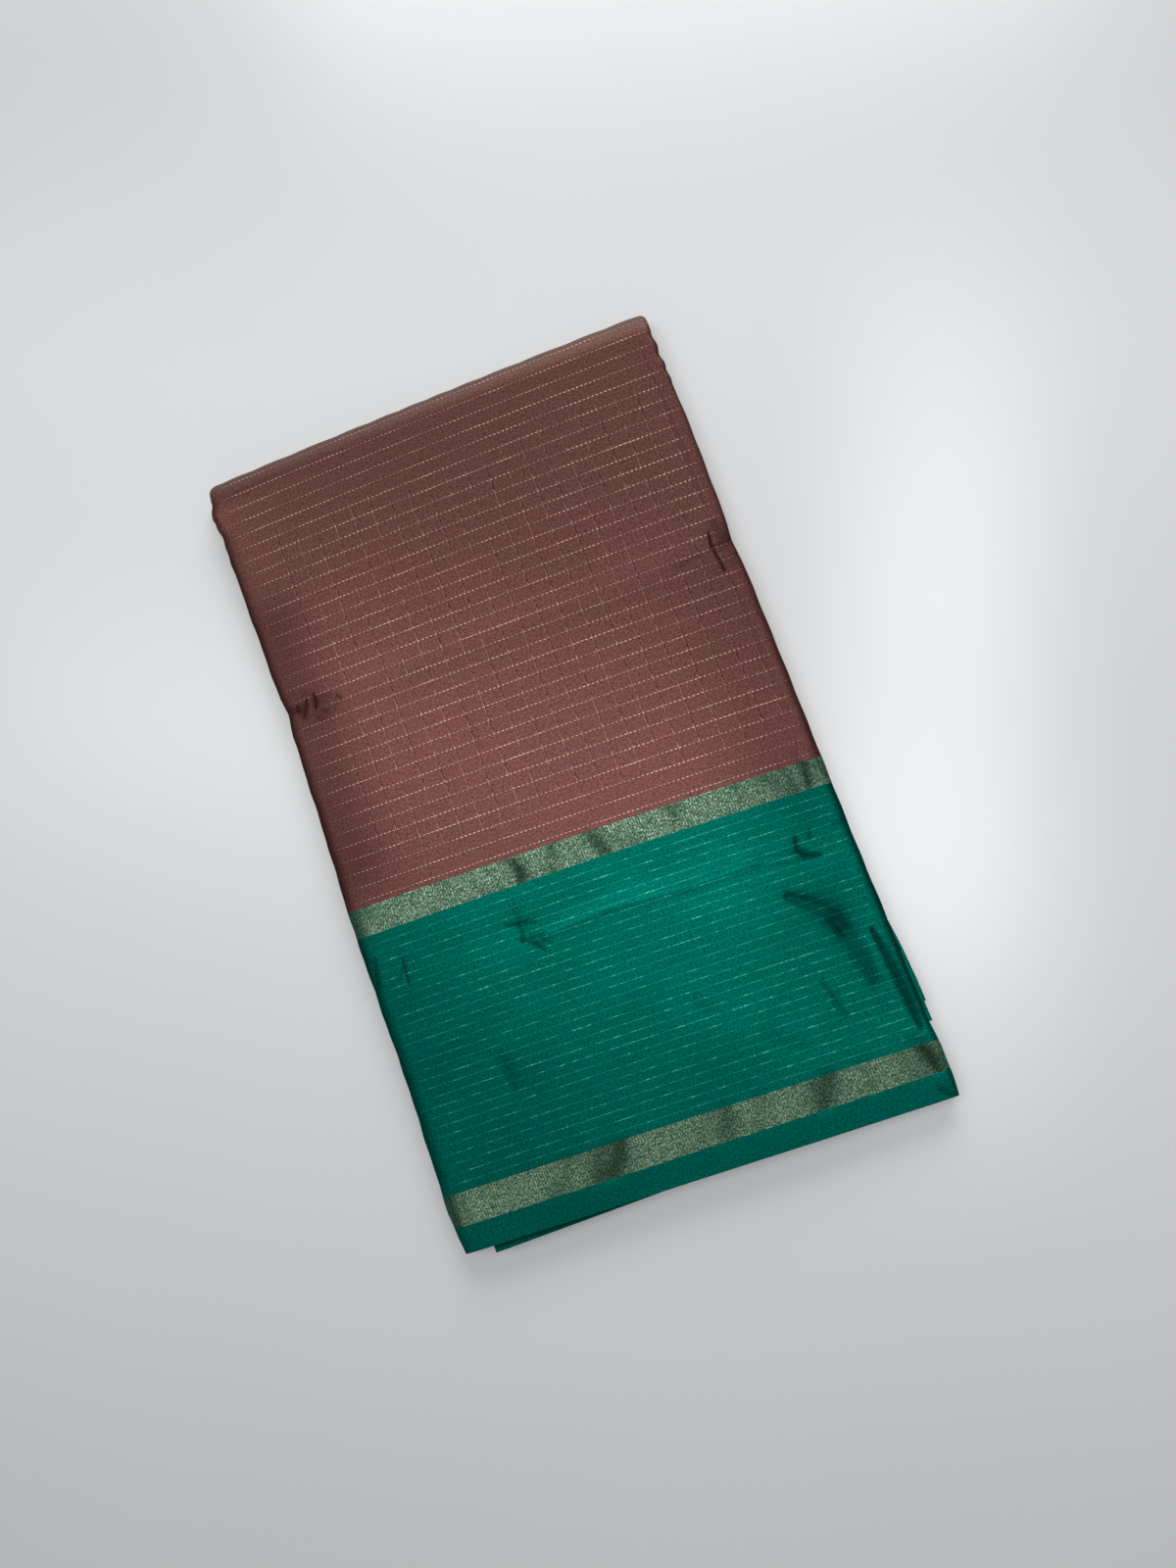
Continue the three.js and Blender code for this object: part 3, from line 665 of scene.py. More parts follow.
def body_lines(g, x, s, seed):
    """Strength of the fine dashed metallic lines along X, and the distance from the nearest."""
    off_line, line = g.centred(g.mul(g.sub(s, BODY_FIRST), 1 / BODY_PITCH))
    wander = g.mul(g.sub(g.noise(g.mul(x, 1 / 14), g.add(line, seed)), 0.5), 0.05)
    away = g.mul(g.abs(g.add(off_line, wander)), BODY_PITCH)
    mark = g.smooth(away, *LINE_EDGE)
    phase = g.mul(g.speckle(g.add(line, seed)), 5.0)
    beat, _ = g.centred(g.add(g.mul(x, 1 / DASH), phase))
    bead = g.smooth(g.abs(beat), 0.36, 0.14)
    run = g.smooth(g.noise(g.mul(x, 1 / 24), g.mul(line, 3.7), seed, 2.0), 0.36, 0.66, 0.36, 1.05)
    steady = g.smooth(g.noise(g.mul(x, 1 / 40), g.mul(line, 5.1), 9.0), 0.54, 0.68, 0.0, 0.34)
    dashes = g.add(steady, g.mul(bead, g.sub(1.0, steady)))
    # the lines fade out towards the side edges
    side_fade = g.mul(g.smooth(x, -173.0, -153.0, 0.12, 1.0), g.smooth(x, 172.0, 160.0, 0.15, 1.0))
    return g.mul(g.mul(mark, dashes), g.mul(run, side_fade)), g.mul(off_line, BODY_PITCH)


def body_crossings(g, x, s, seed, off):
    """Strength of the fainter lines along Y, and of the painted shadow line beside each."""
    beside, column = g.centred(g.mul(g.sub(x, CROSS_FIRST), 1 / CROSS_PITCH))
    drift = g.mul(g.sub(g.noise(g.mul(s, 1 / 19), g.mul(column, 2.3), seed), 0.5), 0.022)
    beside = g.mul(g.add(beside, drift), CROSS_PITCH)
    cross = g.smooth(g.abs(beside), *LINE_EDGE)
    shadow = g.smooth(g.abs(g.sub(beside, 0.45)), 0.6, 0.15)
    knot = g.smooth(g.abs(g.sub(off, KNOT_ABOVE)), 2.1, 0.5)
    faint = g.smooth(g.noise(g.mul(s, 1 / 5), g.mul(column, 4.1), seed, 2.0), 0.42, 0.66)
    reach = g.mul(g.smooth(s, 264.0, 222.0), g.smooth(s, -27.0, -14.0))
    reach = g.mul(reach, g.mul(g.smooth(x, -160.0, -140.0), g.smooth(x, 168.0, 154.0)))
    crossing = g.mul(g.add(g.smooth(faint, 0.0, 1.0, 0.04, 0.26), g.mul(knot, 0.26)), reach)
    # how strong the painted shadow line is, varying along each line
    pressed = g.smooth(g.noise(g.mul(s, 1 / 22), g.mul(column, 6.3), seed), 0.35, 0.65, 0.3, 0.75)
    return g.mul(cross, crossing), g.mul(g.mul(shadow, reach), pressed)


def body_colour(g, x, s, far):
    """Brown silk with its metallic lines: its colour, the lines' strength and the yarn's grain."""
    seed = g.mul(far, 37.0)
    thread, off = body_lines(g, x, s, seed)
    crossed, pressed = body_crossings(g, x, s, seed, off)
    patch = g.blobs(x, s, 55, 80, seed, 2.0)
    rosy = g.mul(g.smooth(patch, 0.3, 0.62), g.smooth(s, 250.0, 120.0, 0.25, 1.0))
    ground = g.mix(rosy, BODY, BODY_ROSE)
    # painted sheen: the brown turns greyer round the top fold
    ground = g.mix(g.smooth(s, BEND_STATION, BEND_STATION + 12, 0.0, 0.8), ground, BODY_FOLD_SHEEN)
    grain = g.blobs(x, s, 1.3, 1.1, seed, 2.0)
    slub = g.blobs(x, s, 9, 0.8, seed)
    mottle = g.blobs(x, s, 1.9, 1.6, g.add(seed, 5.0))
    # painted shadow: a thin dark line beside each metallic line; it and the crossings' painted shadow line
    # darken the tone
    under = g.smooth(g.abs(g.add(off, 0.6)), 0.55, 0.15)
    tone = g.add(g.smooth(grain, 0.25, 0.75, 0.62, 1.38), g.smooth(slub, 0.3, 0.7, -0.05, 0.05))
    tone = g.add(tone, g.smooth(mottle, 0.25, 0.75, -0.24, 0.24))
    tone = g.sub(g.sub(tone, pressed), g.mul(under, 0.18))
    ground = g.shade(ground, tone)
    silk = g.mix(g.math("MAXIMUM", thread, crossed), ground, BODY_ZARI)
    # painted shade inside the folds, painted highlight on their ridges
    return g.folded(silk, BODY_FOLD_SHADE), g.add(g.mul(thread, 0.8), g.mul(crossed, 0.5)), grain


def border_colour(g, x, s, far):
    """Green silk with fine broken metallic lines along X, and a ribbed plain selvedge."""
    seed = g.mul(far, 53.0)
    off_line, line = g.centred(g.mul(g.sub(s, BORDER_FIRST), 1 / BORDER_PITCH))
    away = g.mul(g.abs(off_line), BORDER_PITCH)
    mark = g.smooth(away, 0.38, 0.08)
    group = g.noise(g.mul(x, 1 / 9), g.mul(line, 3.3), seed, 2.0)
    phase = g.mul(g.speckle(g.add(line, seed)), 3.0)
    beat, beads = g.centred(g.add(g.mul(x, 1 / 1.55), phase))
    spark = g.smooth(g.speckle(g.add(beads, g.mul(line, 7.3))), 0.35, 1.0, 0.15, 1.0)
    bead = g.mul(g.smooth(g.abs(beat), 0.46, 0.16, 0.3, 1.0), spark)
    strong = g.smooth(g.speckle(g.add(g.mul(line, 1.7), seed)), 0.0, 1.0, 0.55, 1.0)
    bright = g.mul(g.smooth(group, 0.44, 0.66, 0.06, 0.8), g.mul(bead, strong))
    after_first = g.smooth(s, BORDER_FIRST - 3, BORDER_FIRST - 2)
    lined = g.mul(after_first, g.smooth(s, BORDER_LAST + 3, BORDER_LAST + 2))
    # the lines fade out towards the side edges
    side_fade = g.mul(g.smooth(x, -172.0, -156.0, 0.1, 1.0), g.smooth(x, 174.0, 164.0, 0.15, 1.0))
    mark = g.mul(mark, g.mul(lined, side_fade))
    base = g.mul(mark, g.smooth(group, 0.3, 0.62, 0.12, 0.5))
    thread = g.mul(mark, bright)
    patch = g.blobs(x, s, 70, 45, seed, 2.0)
    ground = g.mix(g.smooth(patch, 0.35, 0.68), GREEN, GREEN_LIGHT)
    plain = g.smooth(s, -273.0, -276.0)
    ground = g.mix(g.mul(plain, 0.3), ground, GREEN_DEEP)
    grain = g.blobs(x, s, 1.2, 1.2, seed, 2.0)
    rib = g.blobs(x, s, 0.6, 9, seed)
    mottle = g.blobs(x, s, 1.8, 1.8, g.add(seed, 5.0))
    tone = g.add(g.smooth(grain, 0.25, 0.75, 0.58, 1.42), g.smooth(rib, 0.3, 0.7, -0.09, 0.09))
    tone = g.add(tone, g.smooth(mottle, 0.25, 0.75, -0.18, 0.18))
    ground = g.shade(ground, tone)
    # painted shade inside the folds, painted highlight on their ridges
    silk = g.folded(g.mix(thread, g.mix(base, ground, GREEN_LINE), GREEN_ZARI), GREEN_FOLD_SHADE)
    return silk, g.mul(thread, 0.8), g.add(grain, rib)


def zari_colour(g, x, s, far):
    """Ribs of gold thread over green, a greyer gold in the lower band."""
    seed = g.mul(far, 71.0)
    lean = g.mul(s, 0.05)
    off_rib, rib = g.centred(g.mul(g.add(x, lean), 1 / RIB_PITCH))
    ridge = g.smooth(g.abs(off_rib), 0.42, 0.12)
    _, rows = g.centred(g.mul(s, 1 / BEAD_PITCH))
    cell = g.speckle(g.add(g.mul(rib, 3.17), g.add(g.mul(rows, 11.3), seed)))
    bead = g.smooth(g.blobs(x, s, 1.0, 1.5, seed), 0.36, 0.64)
    fleck = g.mul(g.add(0.12, g.mul(bead, 0.78)), g.smooth(cell, 0.0, 1.0, 0.45, 1.0))
    cloud = g.noise(g.mul(g.add(x, g.mul(s, 0.3)), 1 / 16), g.mul(s, 1 / 40), seed, 2.0)
    patch = g.smooth(cloud, 0.34, 0.56, 0.62, 1.0)
    glint = g.mul(g.mul(g.add(0.7, g.mul(ridge, 0.3)), fleck), patch)
    # the gold fades out towards the side edges
    side_fade = g.mul(g.smooth(x, -174.0, -164.0, 0.25, 1.0), g.smooth(x, 177.0, 170.0, 0.3, 1.0))
    # painted shade in the folds: the gold and the green ground under it go darker
    glint = g.mul(g.mul(glint, side_fade), g.kept())
    dim = g.math("MINIMUM", g.smooth(g.kept(), 0.0, 1.0, 0.35, 1.0), 1.0)
    lower = g.smooth(s, -150.0, -160.0)
    gold = g.mix(lower, BAND_GOLD, BAND_GREY_GOLD)
    ground = g.shade(BAND_GROUND, g.mul(dim, g.smooth(bead, 0.0, 1.0, 0.7, 1.3)))
    return g.mix(glint, ground, gold), glint, g.mul(ridge, 1.6)


def woven_graph(name):
    """A material's graph, and what its weave is placed by."""
    g = Graph(name)
    return (g, *g.split(g.attribute("weave")))


def silk_body():
    g, x, s, far = woven_graph("silk_body")
    colour, thread, grain = body_colour(g, x, s, far)
    g.bump(g.add(g.mul(grain, 0.6), thread), 0.00012, 0.5)
    bent = g.smooth(s, BEND_STATION - 2, BEND_STATION + 8)
    roughness = g.add(g.smooth(thread, 0.0, 0.8, 0.42, 0.34), g.mul(bent, 0.16))
    metallic = g.smooth(bent, 0.0, 1.0, 0.78, 0.35)
    return g.finish(colour, roughness, 0.5, srgb(236, 196, 188), metallic)


def silk_border():
    g, x, s, far = woven_graph("silk_border")
    colour, thread, grain = border_colour(g, x, s, far)
    g.bump(g.add(g.mul(grain, 0.4), thread), 0.00012, 0.5)
    roughness = g.smooth(thread, 0.0, 0.8, 0.42, 0.34)
    return g.finish(colour, roughness, 0.5, srgb(0, 190, 165), metallic=0.8)


def silk_zari():
    g, x, s, far = woven_graph("silk_zari")
    colour, glint, ridge = zari_colour(g, x, s, far)
    g.bump(ridge, 0.00022, 0.6)
    metallic = g.smooth(glint, 0.1, 0.9, 0.5, 0.65)
    return g.finish(colour, g.smooth(glint, 0.0, 1.0, 0.55, 0.36), 0.5, srgb(200, 225, 190), metallic)


def silk_layers():
    """The folded edges: each station's own colour, with a tone for each ply."""
    g, x, s, far = woven_graph("silk_layers")
    ply = g.attribute("ply", "Fac")
    jitter = g.mul(g.sub(g.speckle(ply), 0.5), 6.0)
    along = g.add(s, jitter)
    body, thread, grain = body_colour(g, x, along, far)
    border, _, _ = border_colour(g, x, along, far)
    gold, _, _ = zari_colour(g, x, along, far)
    tops = (SELVEDGE_TOP, ZARI_LOWER_TOP, BORDER_TOP, ZARI_UPPER_TOP)
    past = [g.smooth(along, top - SEAM, top + SEAM) for top in tops]
    past_selvedge, past_lower, past_border, is_body = past
    lower = g.mul(past_selvedge, g.sub(1.0, past_lower))
    upper = g.mul(past_border, g.sub(1.0, is_body))
    colour = g.mix(is_body, border, g.mix(g.smooth(thread, 0.1, 0.9, 0.0, 0.4), body, BODY_DEEP))
    colour = g.mix(g.mul(g.math("MAXIMUM", upper, lower), 0.75), colour, gold)
    colour = g.shade(colour, g.smooth(g.speckle(g.add(ply, 0.37)), 0.0, 1.0, 0.6, 1.15))
    g.bump(g.mul(grain, 0.6), 0.00012, 0.5)
    return g.finish(colour, 0.6, 0.35, srgb(200, 200, 190))


SILK = {"body": silk_body(), "border": silk_border(), "zari": silk_zari(), "layers": silk_layers()}
LOOK_OF_ZONE = {
    "selvedge": "border", "zari_lower": "zari", "border": "border", "zari_upper": "zari", "body": "body",
}


def silk_sheet(name, rows, x, points, look, nodes, painted_shading=None, cloth=CLOTH):
    """A thin sheet of silk that lies folded on the stack and stands for the named solids."""
    solid, faces = shell(points, cloth)
    weave = np.concatenate([weave_of(rows, x).reshape(-1, 3)] * 2)
    floats = {} if painted_shading is None else {"painted_shading": np.tile(painted_shading.reshape(-1), 2)}
    made = piece(name, solid, faces, weave, look, floats)
    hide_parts(*nodes)


# the outer leaf, a sheet for each woven zone that shows


def outer_sheet(name, rows, look, nodes):
    x, depth, fade = leaf_columns(rows)
    points = place(rows, x, depth, fade)
    painted_shading = painted_shading_of(rows, x, look == "zari")
    silk_sheet(name, rows, x, points, look, nodes, painted_shading)


def build_outer_leaf():
    for zone, low, high in ZONES:
        look = LOOK_OF_ZONE[zone]
        if zone == "body":
            rows = top_rows(zone) + bend_rows() + under_rows(high, low)
            outer_sheet("saree_body", rows, look, ["top_body", "under_body"])
            continue
        outer_sheet(f"saree_top_{zone}", top_rows(zone), look, [f"top_{zone}"])
        outer_sheet(f"saree_under_{zone}", under_rows(high, low), look, [f"under_{zone}"])


# the second leaf, turned a little, so that its corner shows past the bottom edge

LEAF_2_CORNER = (-152.0, LEAF_2_LOW)
LEAF_2_SLOPE = np.tan(np.radians(1.7))
LEAF_2_TOP = -84.0  # its hidden end
LEAF_2_DEPTH = 0.85
LEAF_2_COLUMNS = 70
LEAF_2_TURN_LENGTH = 30.0  # the length at its end over which it turns to its own slope
LEAF_2_SAG = 0.5
# painted shadow that the top leaf's edge casts on the second leaf:
LEAF_2_SHADE, LEAF_2_LEAST = 0.8, 0.12  # light lost under the top leaf, and the share far out
LEAF_2_FAR, LEAF_2_FADE = 3.4, 2.2  # how far past its edge, and over what length


def build_second_leaf():
    stations = spaced((END_STATION, -284, 0.6), (-284, -250, 3), (-250, LEAF_2_TOP, 3))
    rows = [(TOP, s, 0.0) for s in stations]
    station = stations[:, None]
    share = np.linspace(0, 1, LEAF_2_COLUMNS)
    left = LEAF_2_CORNER[0] - LEAF_2_SLOPE * (station - LEAF_2_CORNER[1])
    right = edges_of(station)[1] - ROLL_RIGHT - 1
    x = left + (right - left) * share
    points = place(rows, x, LEAF_2_DEPTH, 1)
    free = LEAF_2_CORNER[1] + LEAF_2_SLOPE * (x[0] - LEAF_2_CORNER[0])
    end = np.minimum(free, station_y(END_STATION, x[0]) + 2 * CORE_SET_BACK)
    near = np.clip(1 - (station - END_STATION) / LEAF_2_TURN_LENGTH, 0, 1) ** 1.5
    points[..., 1] += near * (end - station_y(END_STATION, x[0]))
    points[..., 2] -= LEAF_2_SAG * near * (1 - share) ** 2
    # painted shadow on the second leaf beside the top leaf's edge
    past_edge = station_y(END_STATION, points[..., 0]) - points[..., 1]
    painted_shading = LEAF_2_SHADE * np.clip((LEAF_2_FAR - past_edge) / LEAF_2_FADE, LEAF_2_LEAST, 1)
    silk_sheet("saree_second_leaf", rows, x, points, "border", ["leaf_2"], painted_shading)


# the hidden layers: one solid with a lip for each fold at its sides and ends

LIPS = 7
LIP_SHARES = (0.0, 0.1, 0.27, 0.5, 0.73, 0.9)
LIP_OUT = 0.75  # how far a lip stands out of the grooves beside it
SEAT = ROLL_DEPTH + TUCK + 0.1  # depth of the first lip, just under the outer leaf's tucked edge
MID_GROOVE, MID_GROOVE_DEEP = 2.8, 1.6  # set back of the middle groove, and its share at the ends
ROLL_POINTS = 6
LAYER_COLUMNS = 84
FLAT_PLY = -2.0  # the number of the ply under the outer leaf; the lips' plies count up from 0

# name, lips from and to, corner station, last station, reach beyond the bundle's middle line
CORNERS = [
    ("leaf_3", 0, 3, -226.0, -160.0, 178.9),
    ("leaf_4", 4, 7, -240.0, -172.0, LEAF_4_REACH),
]
POCKET = 11.5  # how far the lips stand back to let a corner leaf in
POCKET_BEFORE, POCKET_EASE = 3.0, 2.0  # where it begins before the corner, and how soon it is open

LIP_TURNS = RNG.uniform(0, 2 * np.pi, (2, 2 * LIPS, 3))
LIP_REST = RNG.uniform(0.15, 1.0, (2, 2 * LIPS))
LIP_WAVES = ((0.3, 71.0), (0.2, 29.0), (0.12, 11.0))  # height and length
LIP_LEAST = 0.05


def lip_set_back(path, hand, lip):
    """How far a lip stands back from the outline, along the whole way round the bundle."""
    side = 0 if hand < 0 else 1
    turns = LIP_TURNS[side, lip]
    wave = sum(high * np.sin(path / long + turn) for (high, long), turn in zip(LIP_WAVES, turns))
    return np.maximum(LIP_LEAST, LIP_REST[side, lip] + wave)


def path_of(rows):
    """Length from the middle of the top, up, round the top fold and back below."""
    side, station, turn = (np.array(column) for column in zip(*rows))
    around = np.where(side == BEND, np.interp(turn, BEND_ANGLES, BEND_ARC), 0)
    back = 2 * BEND_STATION + BEND_ARC[-1] - station
    return np.where(side == UNDER, back, station + around)


def side_profile(rows, hand):
    """x and depth down one side of the stack, and the ply that each point belongs to."""
    station = np.array([row[1] for row in rows])
    edge = edges_of(station)[0 if hand < 0 else 1]
    path = path_of(rows)
    under = is_below(rows)
    middle = height_at(station) / 2
    width = (ROLL_LEFT if hand < 0 else ROLL_RIGHT) - CORE_DEPTH
    xs, depths, plies, grooves, fades = [], [], [], [], []
    for step in range(ROLL_POINTS + 1):
        angle = np.pi / 2 * step / ROLL_POINTS
        set_back = CORE_DEPTH + width * (1 - np.sin(angle))
        xs.append(edge - hand * set_back)
        depths.append(np.full(len(rows), CORE_DEPTH + (ROLL_DEPTH - CORE_DEPTH) * (1 - np.cos(angle))))
        plies.append(FLAT_PLY + step // 2)
        grooves.append(step % 2)
        fades.append(np.cos(angle))
    for lip in range(LIPS):
        rest = np.where(under, lip_set_back(path, hand, 2 * LIPS - 1 - lip), lip_set_back(path, hand, lip))
        for _, first, last, corner, top, _ in CORNERS:
            if hand > 0 and first <= lip < last:
                opens = np.clip((station - corner + POCKET_BEFORE) / POCKET_EASE, 0, 1)
                closes = np.clip((top - station) / POCKET_EASE, 0, 1)
                rest = np.where(under, rest, rest + POCKET * opens * closes)
        for share in LIP_SHARES:
            out = np.sqrt(max(0.0, 1 - (2 * share - 1) ** 2))
            xs.append(edge - hand * (rest + LIP_OUT * (1 - out)))
            depths.append(SEAT + (middle - SEAT) * (lip + share) / LIPS)
            plies.append(float(lip))
            grooves.append(1 - out)
    xs.append(edge - hand * MID_GROOVE)
    depths.append(middle)
    plies.append(float(LIPS))
    grooves.append(MID_GROOVE_DEEP)
    fades = np.array(fades + [0.0] * (len(xs) - len(fades)))
    return np.stack(xs, 1), np.stack(depths, 1), np.array(plies), np.array(grooves), fades


def layer_rows():
    """Rows round the stack: along the top, round the fold and back along the underside."""
    first = END_STATION + CORE_SET_BACK
    stations = spaced((first, -262, 2.5), (-262, -150, 3), (-150, BEND_STATION, 5))
    return [(TOP, s, 0.0) for s in stations] + bend_rows() + [(UNDER, s, np.pi) for s in stations[::-1]]


END_GROOVE = 0.9  # how far the grooves stand back at the front end
END_WAVES = ((0.45, 37.0), (0.25, 13.0))  # height and length of the waves along it
END_EASE = 30  # how soon they begin beside its corners
CREASED_LEVELS = 8  # levels over which the top leaf's folds fade down the end
# each part of the stack has tones of its own: what is added to the number of a ply
RIGHT_PLY, UNDER_PLY, END_PLY = 40, 20, 60


def end_level(left, right, share, groove, turns, creased):
    """A level line of the front end, from a point of the left side to one of the right side."""
    x = left[0] + (right[0] - left[0]) * share
    (high, long), (low, short) = END_WAVES
    waves = high * (1 + np.sin(x / long + turns[0])) + low * np.sin(x / short + turns[1])
    ease = np.minimum(1, np.minimum(share, 1 - share) * END_EASE)
    y = station_y(END_STATION + CORE_SET_BACK, x) + (END_GROOVE * groove + waves) * ease
    z = left[2] - relief(x, y) * creased
    return np.concatenate([[left], np.stack([x, y, z], 1), [right]])


def end_levels(points, side, share, plies, grooves):
    """The front end as a grid of levels, from the top leaf down to the underside, and their plies."""
    turns = RNG.uniform(0, 2 * np.pi, (2, LIPS + 4, 2))
    halves = []
    for half, row in enumerate((points[0], points[-1])):
        found = []
        for i in range(side):
            left, right = row[side - 1 - i], row[len(row) - side + i]
            creased = max(0.0, 1 - i / CREASED_LEVELS) if half == 0 else 0.0
            turn = turns[half, int(plies[i] - FLAT_PLY)]
            found.append(end_level(left, right, share, grooves[i], turn, creased))
        found[0] = row[side - 1 : len(row) - side + 1]
        halves.append(found)
    upper, lower = halves
    level_plies = np.concatenate([plies + END_PLY, (plies + END_PLY + UNDER_PLY)[::-1]])
    return np.stack([*upper, *lower[::-1]]), level_plies


def build_layers():
    rows = layer_rows()
    left, right = edges_of(np.array([row[1] for row in rows])[:, None])
    share = np.linspace(0, 1, LAYER_COLUMNS)[1:-1]
    inner_left, inner_right = left + ROLL_LEFT, right - ROLL_RIGHT
    flat = inner_left + (inner_right - inner_left) * share
    left_x, left_depth, plies, grooves, fades = side_profile(rows, -1)
    right_x, right_depth, *_ = side_profile(rows, 1)
    x = np.concatenate([left_x[:, ::-1], flat, right_x], axis=1)
    depth = np.concatenate([left_depth[:, ::-1], np.full(flat.shape, CORE_DEPTH), right_depth], axis=1)
    even = np.ones(len(share))
    points = place(rows, x, depth, np.concatenate([fades[::-1], even, fades]))
    ply = np.concatenate([plies[::-1], FLAT_PLY * even, plies + RIGHT_PLY])
    ply = np.where(is_below(rows)[:, None], ply + UNDER_PLY, ply)
    end, end_ply = end_levels(points, left_x.shape[1], share, plies, grooves)
    end_station = np.full(end.shape[:2], rows[0][1])
    end_weave = np.stack([end[..., 0], end_station, np.zeros(end.shape[:2])], axis=-1)

    solid = np.concatenate([points.reshape(-1, 3), end.reshape(-1, 3)])
    faces = np.concatenate([grid_faces(*x.shape), grid_faces(*end.shape[:2], start=x.size)])
    woven = np.concatenate([weave_of(rows, x).reshape(-1, 3), end_weave.reshape(-1, 3)])
    tones = {"ply": np.concatenate([ply.reshape(-1), np.repeat(end_ply, end.shape[1])])}
    made = piece("saree_folded_layers", solid, faces, woven, "layers", tones, weld=1e-7, crisp=75)
    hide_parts("folded_layers")


# the two corners that step out of the right edge

CORNER_CLOTH = 0.35
CORNER_STEP, CORNER_TURNS, CORNER_COLUMNS = 2.2, 9, 4  # rows apart, points round its edge, and beside
CORNER_GAP, CORNER_CLEAR = 0.12, 1.0  # from the lips above and below it, and from the pocket's end
CORNER_IN, CORNER_POWER = 0.6, 1.6  # how far inside the outline it ends, and how late it gets there


def build_corner(name, first, last, corner, top, reach):
    """A folded lip of cloth that slides out of the stack towards its corner."""
    stations = spaced((corner, top, CORNER_STEP))
    rows = [(TOP, s, 0.0) for s in stations]
    station = stations[:, None]
    right = edges_of(station)[1]
    along = (station - corner) / (top - corner)
    out = reach + (right - CORNER_IN - reach) * along**CORNER_POWER
    middle = height_at(station) / 2
    high = SEAT + (middle - SEAT) * first / LIPS + CORNER_GAP
    low = SEAT + (middle - SEAT) * last / LIPS - CORNER_GAP
    half = (low - high) / 2
    turn = np.linspace(0, np.pi, CORNER_TURNS)
    inner = right - POCKET + CORNER_CLEAR
    runs = np.linspace(0, 1, CORNER_COLUMNS, endpoint=False)
    upper_x = inner + (out - half - inner) * runs
    x = np.concatenate([upper_x, out - half + half * np.sin(turn), upper_x[:, ::-1]], axis=1)
    flat = np.ones(len(runs))
    depth = np.concatenate([high * flat, (high + low) / 2 - half * np.cos(turn), low * flat], axis=1)
    points = place(rows, x, depth, 0)
    silk_sheet(f"saree_{name}", rows, x, points, "border", [name], cloth=CORNER_CLOTH)


build_layers()
build_outer_leaf()
build_second_leaf()
for corner_leaf in CORNERS:
    build_corner(*corner_leaf)


# floor, light and camera

# the floor's tones run along and across the photo's upward direction, in metres from the origin
# painted light: a brighter streak in the floor's colour beside the bundle
STREAK_WAY = (0.368, 0.930)
STREAK_AWAY, STREAK_HALF, STREAK_GAIN = 0.265, 0.13, 0.26
FLOOR_TONE = srgb(232, 233, 233)
FLOOR_HALF, FLOOR_DROP = 4.0, 0.0002


def build_floor():
    mesh = bpy.data.meshes.new("floor")
    signs = ((-1, -1), (1, -1), (1, 1), (-1, 1))
    mesh.from_pydata([(FLOOR_HALF * a, FLOOR_HALF * b, 0) for a, b in signs], [], [(0, 1, 2, 3)])
    g = Graph("floor_pale")
    position = g.nodes.new("ShaderNodeTexCoord").outputs["Object"]
    x, y, _ = g.split(position)
    cloud = g.noise(g.mul(x, 3.0), g.mul(y, 3.0), 4.0, 2.0)
    tone = g.smooth(cloud, 0.3, 0.7, 0.985, 1.0)
    along = g.add(g.mul(x, STREAK_WAY[0]), g.mul(y, STREAK_WAY[1]))
    aside = g.sub(g.mul(x, STREAK_WAY[1]), g.mul(y, STREAK_WAY[0]))
    aside = g.abs(g.sub(aside, STREAK_AWAY))
    reach = g.mul(g.smooth(along, -0.34, 0.0), g.smooth(along, 0.5, 0.1))
    # painted light: the floor's colour is brighter along a streak beside the bundle
    painted_light_streak = g.mul(g.smooth(aside, STREAK_HALF, 0.0), reach)
    # painted falloff: the floor's colour darkens towards the front and the back
    front = g.smooth(along, -0.6, -0.12, 0.87, 1.0)
    back = g.smooth(along, 0.28, 0.6, 1.0, 0.84)
    tone = g.mul(g.mul(tone, g.add(1.0, g.mul(painted_light_streak, STREAK_GAIN))), front)
    tone = g.mul(tone, back)
    mesh.materials.append(g.finish(g.shade(FLOOR_TONE, tone), 0.3, 0.7, (1, 1, 1, 1)))
    floor = add_object("floor", mesh)
    floor.location.z = -FLOOR_DROP


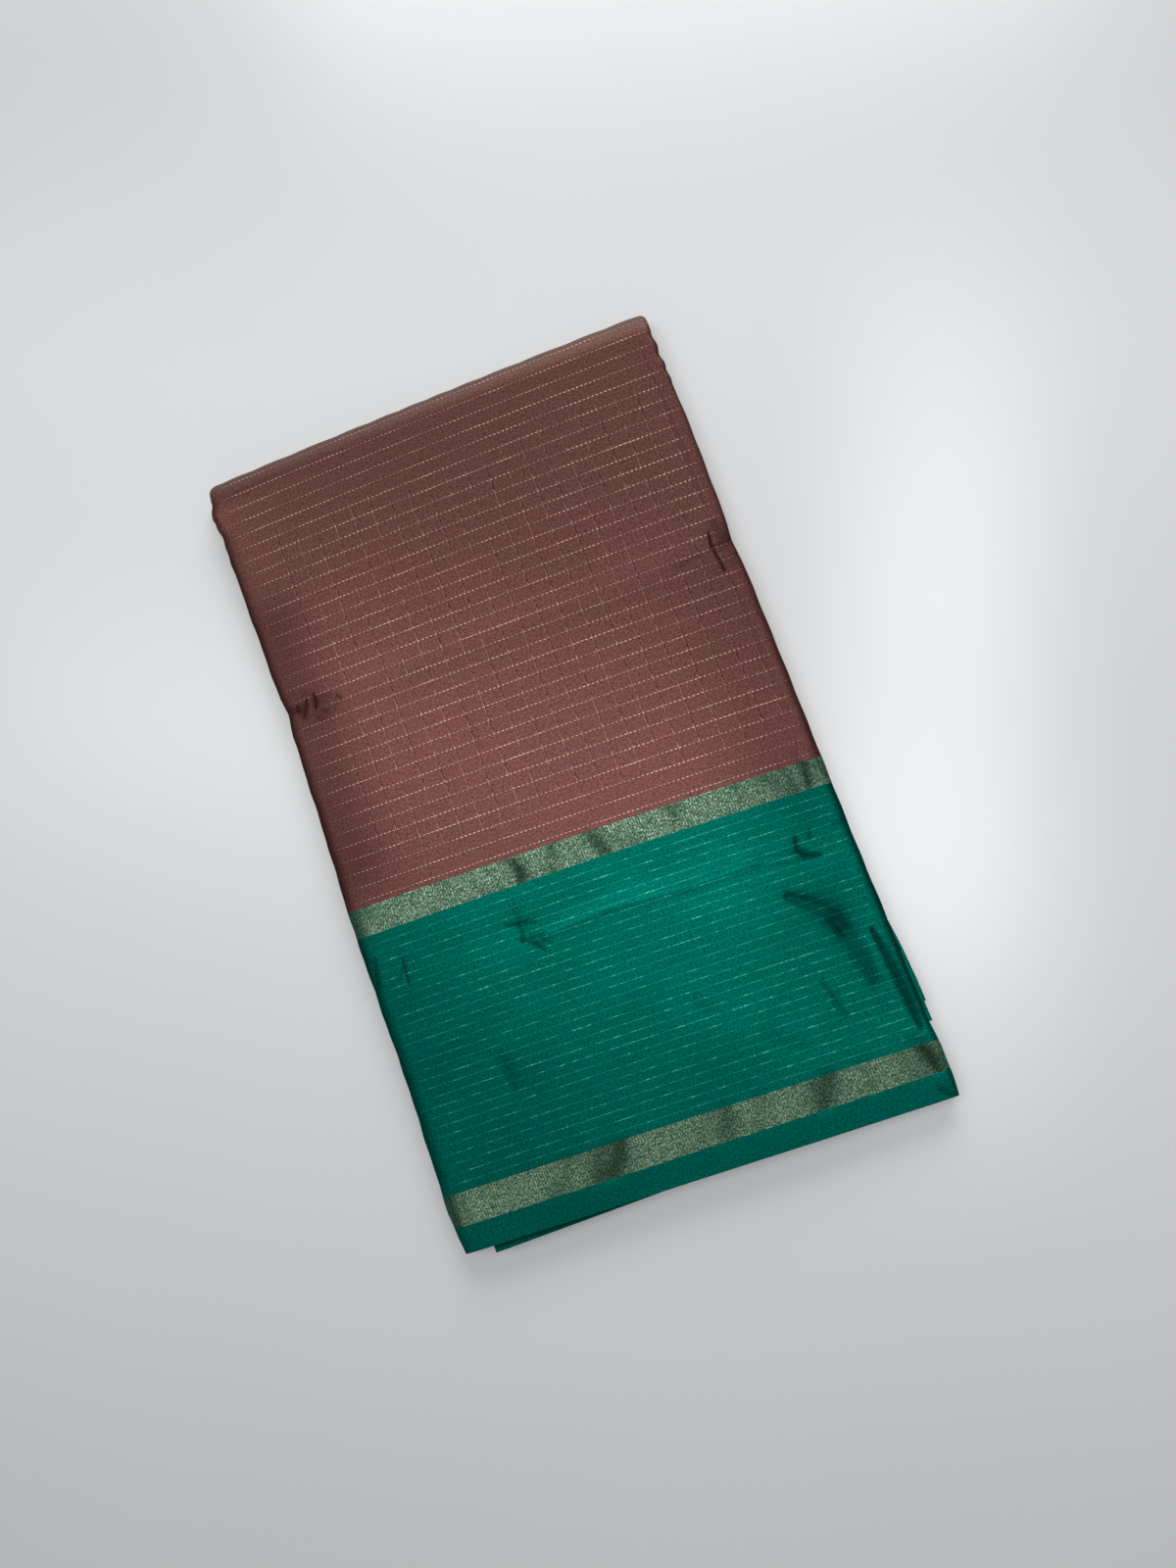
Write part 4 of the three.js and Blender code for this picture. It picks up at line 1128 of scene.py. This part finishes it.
def area_light(name, place_m, aim_m, size, size_y, power, colour):
    data = bpy.data.lights.new(name, "AREA")
    data.shape = "RECTANGLE"
    data.size, data.size_y, data.energy, data.color = size, size_y, power, colour
    light = add_object(name, data)
    light.location = place_m
    light.rotation_euler = (Vector(aim_m) - Vector(place_m)).to_track_quat("-Z", "Y").to_euler()


# name, place, point aimed at and sides in metres, power in watts, colour
LIGHTS = [
    ("ceiling", (-0.3, 0.25, 2.0), (-0.05, 0.1, 0), 0.5, 2.8, 15.0, (1, 1, 1)),
    ("room", (0.0, 0.0, 2.6), (0, 0, 0), 3.0, 3.0, 6.0, (1, 1, 1)),
    ("lamp", (0.69, 0.3, 2.0), (0.25, 0, 0), 0.3, 2.4, 2.0, (1, 1, 1)),
    ("fill", (-0.5, -1.8, 0.9), (0, 0, 0), 2.2, 1.2, 3.2, (1, 1, 1)),
    ("window", (0.75, 1.9, 1.0), (0, 0, 0), 1.8, 1.1, 32.0, (0.985, 0.99, 1.0)),
]
WORLD_TONE, WORLD_STRENGTH = (0.93, 0.95, 1.0, 1), 0.2


def build_lights():
    for row in LIGHTS:
        area_light(*row)
    world = bpy.data.worlds.new("studio")
    world.use_nodes = True
    background = world.node_tree.nodes["Background"]
    background.inputs["Color"].default_value = WORLD_TONE
    background.inputs["Strength"].default_value = WORLD_STRENGTH
    bpy.context.scene.world = world
    bpy.context.scene.view_settings.view_transform = "Standard"


# the camera's place in the bundle's plan, its turn as an axis times an angle, and its lens
CAMERA_PLACE = Vector((82.4, -109.4, 738.4))
CAMERA_TURN = Vector((0.1110, 0.11203, -0.35301))
CAMERA_LENS, CAMERA_SENSOR = 24.0, 36.0


def build_camera():
    data = bpy.data.cameras.new("camera")
    data.lens, data.sensor_width = CAMERA_LENS, CAMERA_SENSOR
    camera = add_object("camera", data)
    turn = Quaternion(CAMERA_TURN.normalized(), CAMERA_TURN.length)
    place_m = (CAMERA_PLACE + shift) / 1000
    camera.matrix_world = Matrix.Translation(place_m) @ turn.to_matrix().to_4x4()
    bpy.context.scene.camera = camera


build_floor()
build_lights()
build_camera()
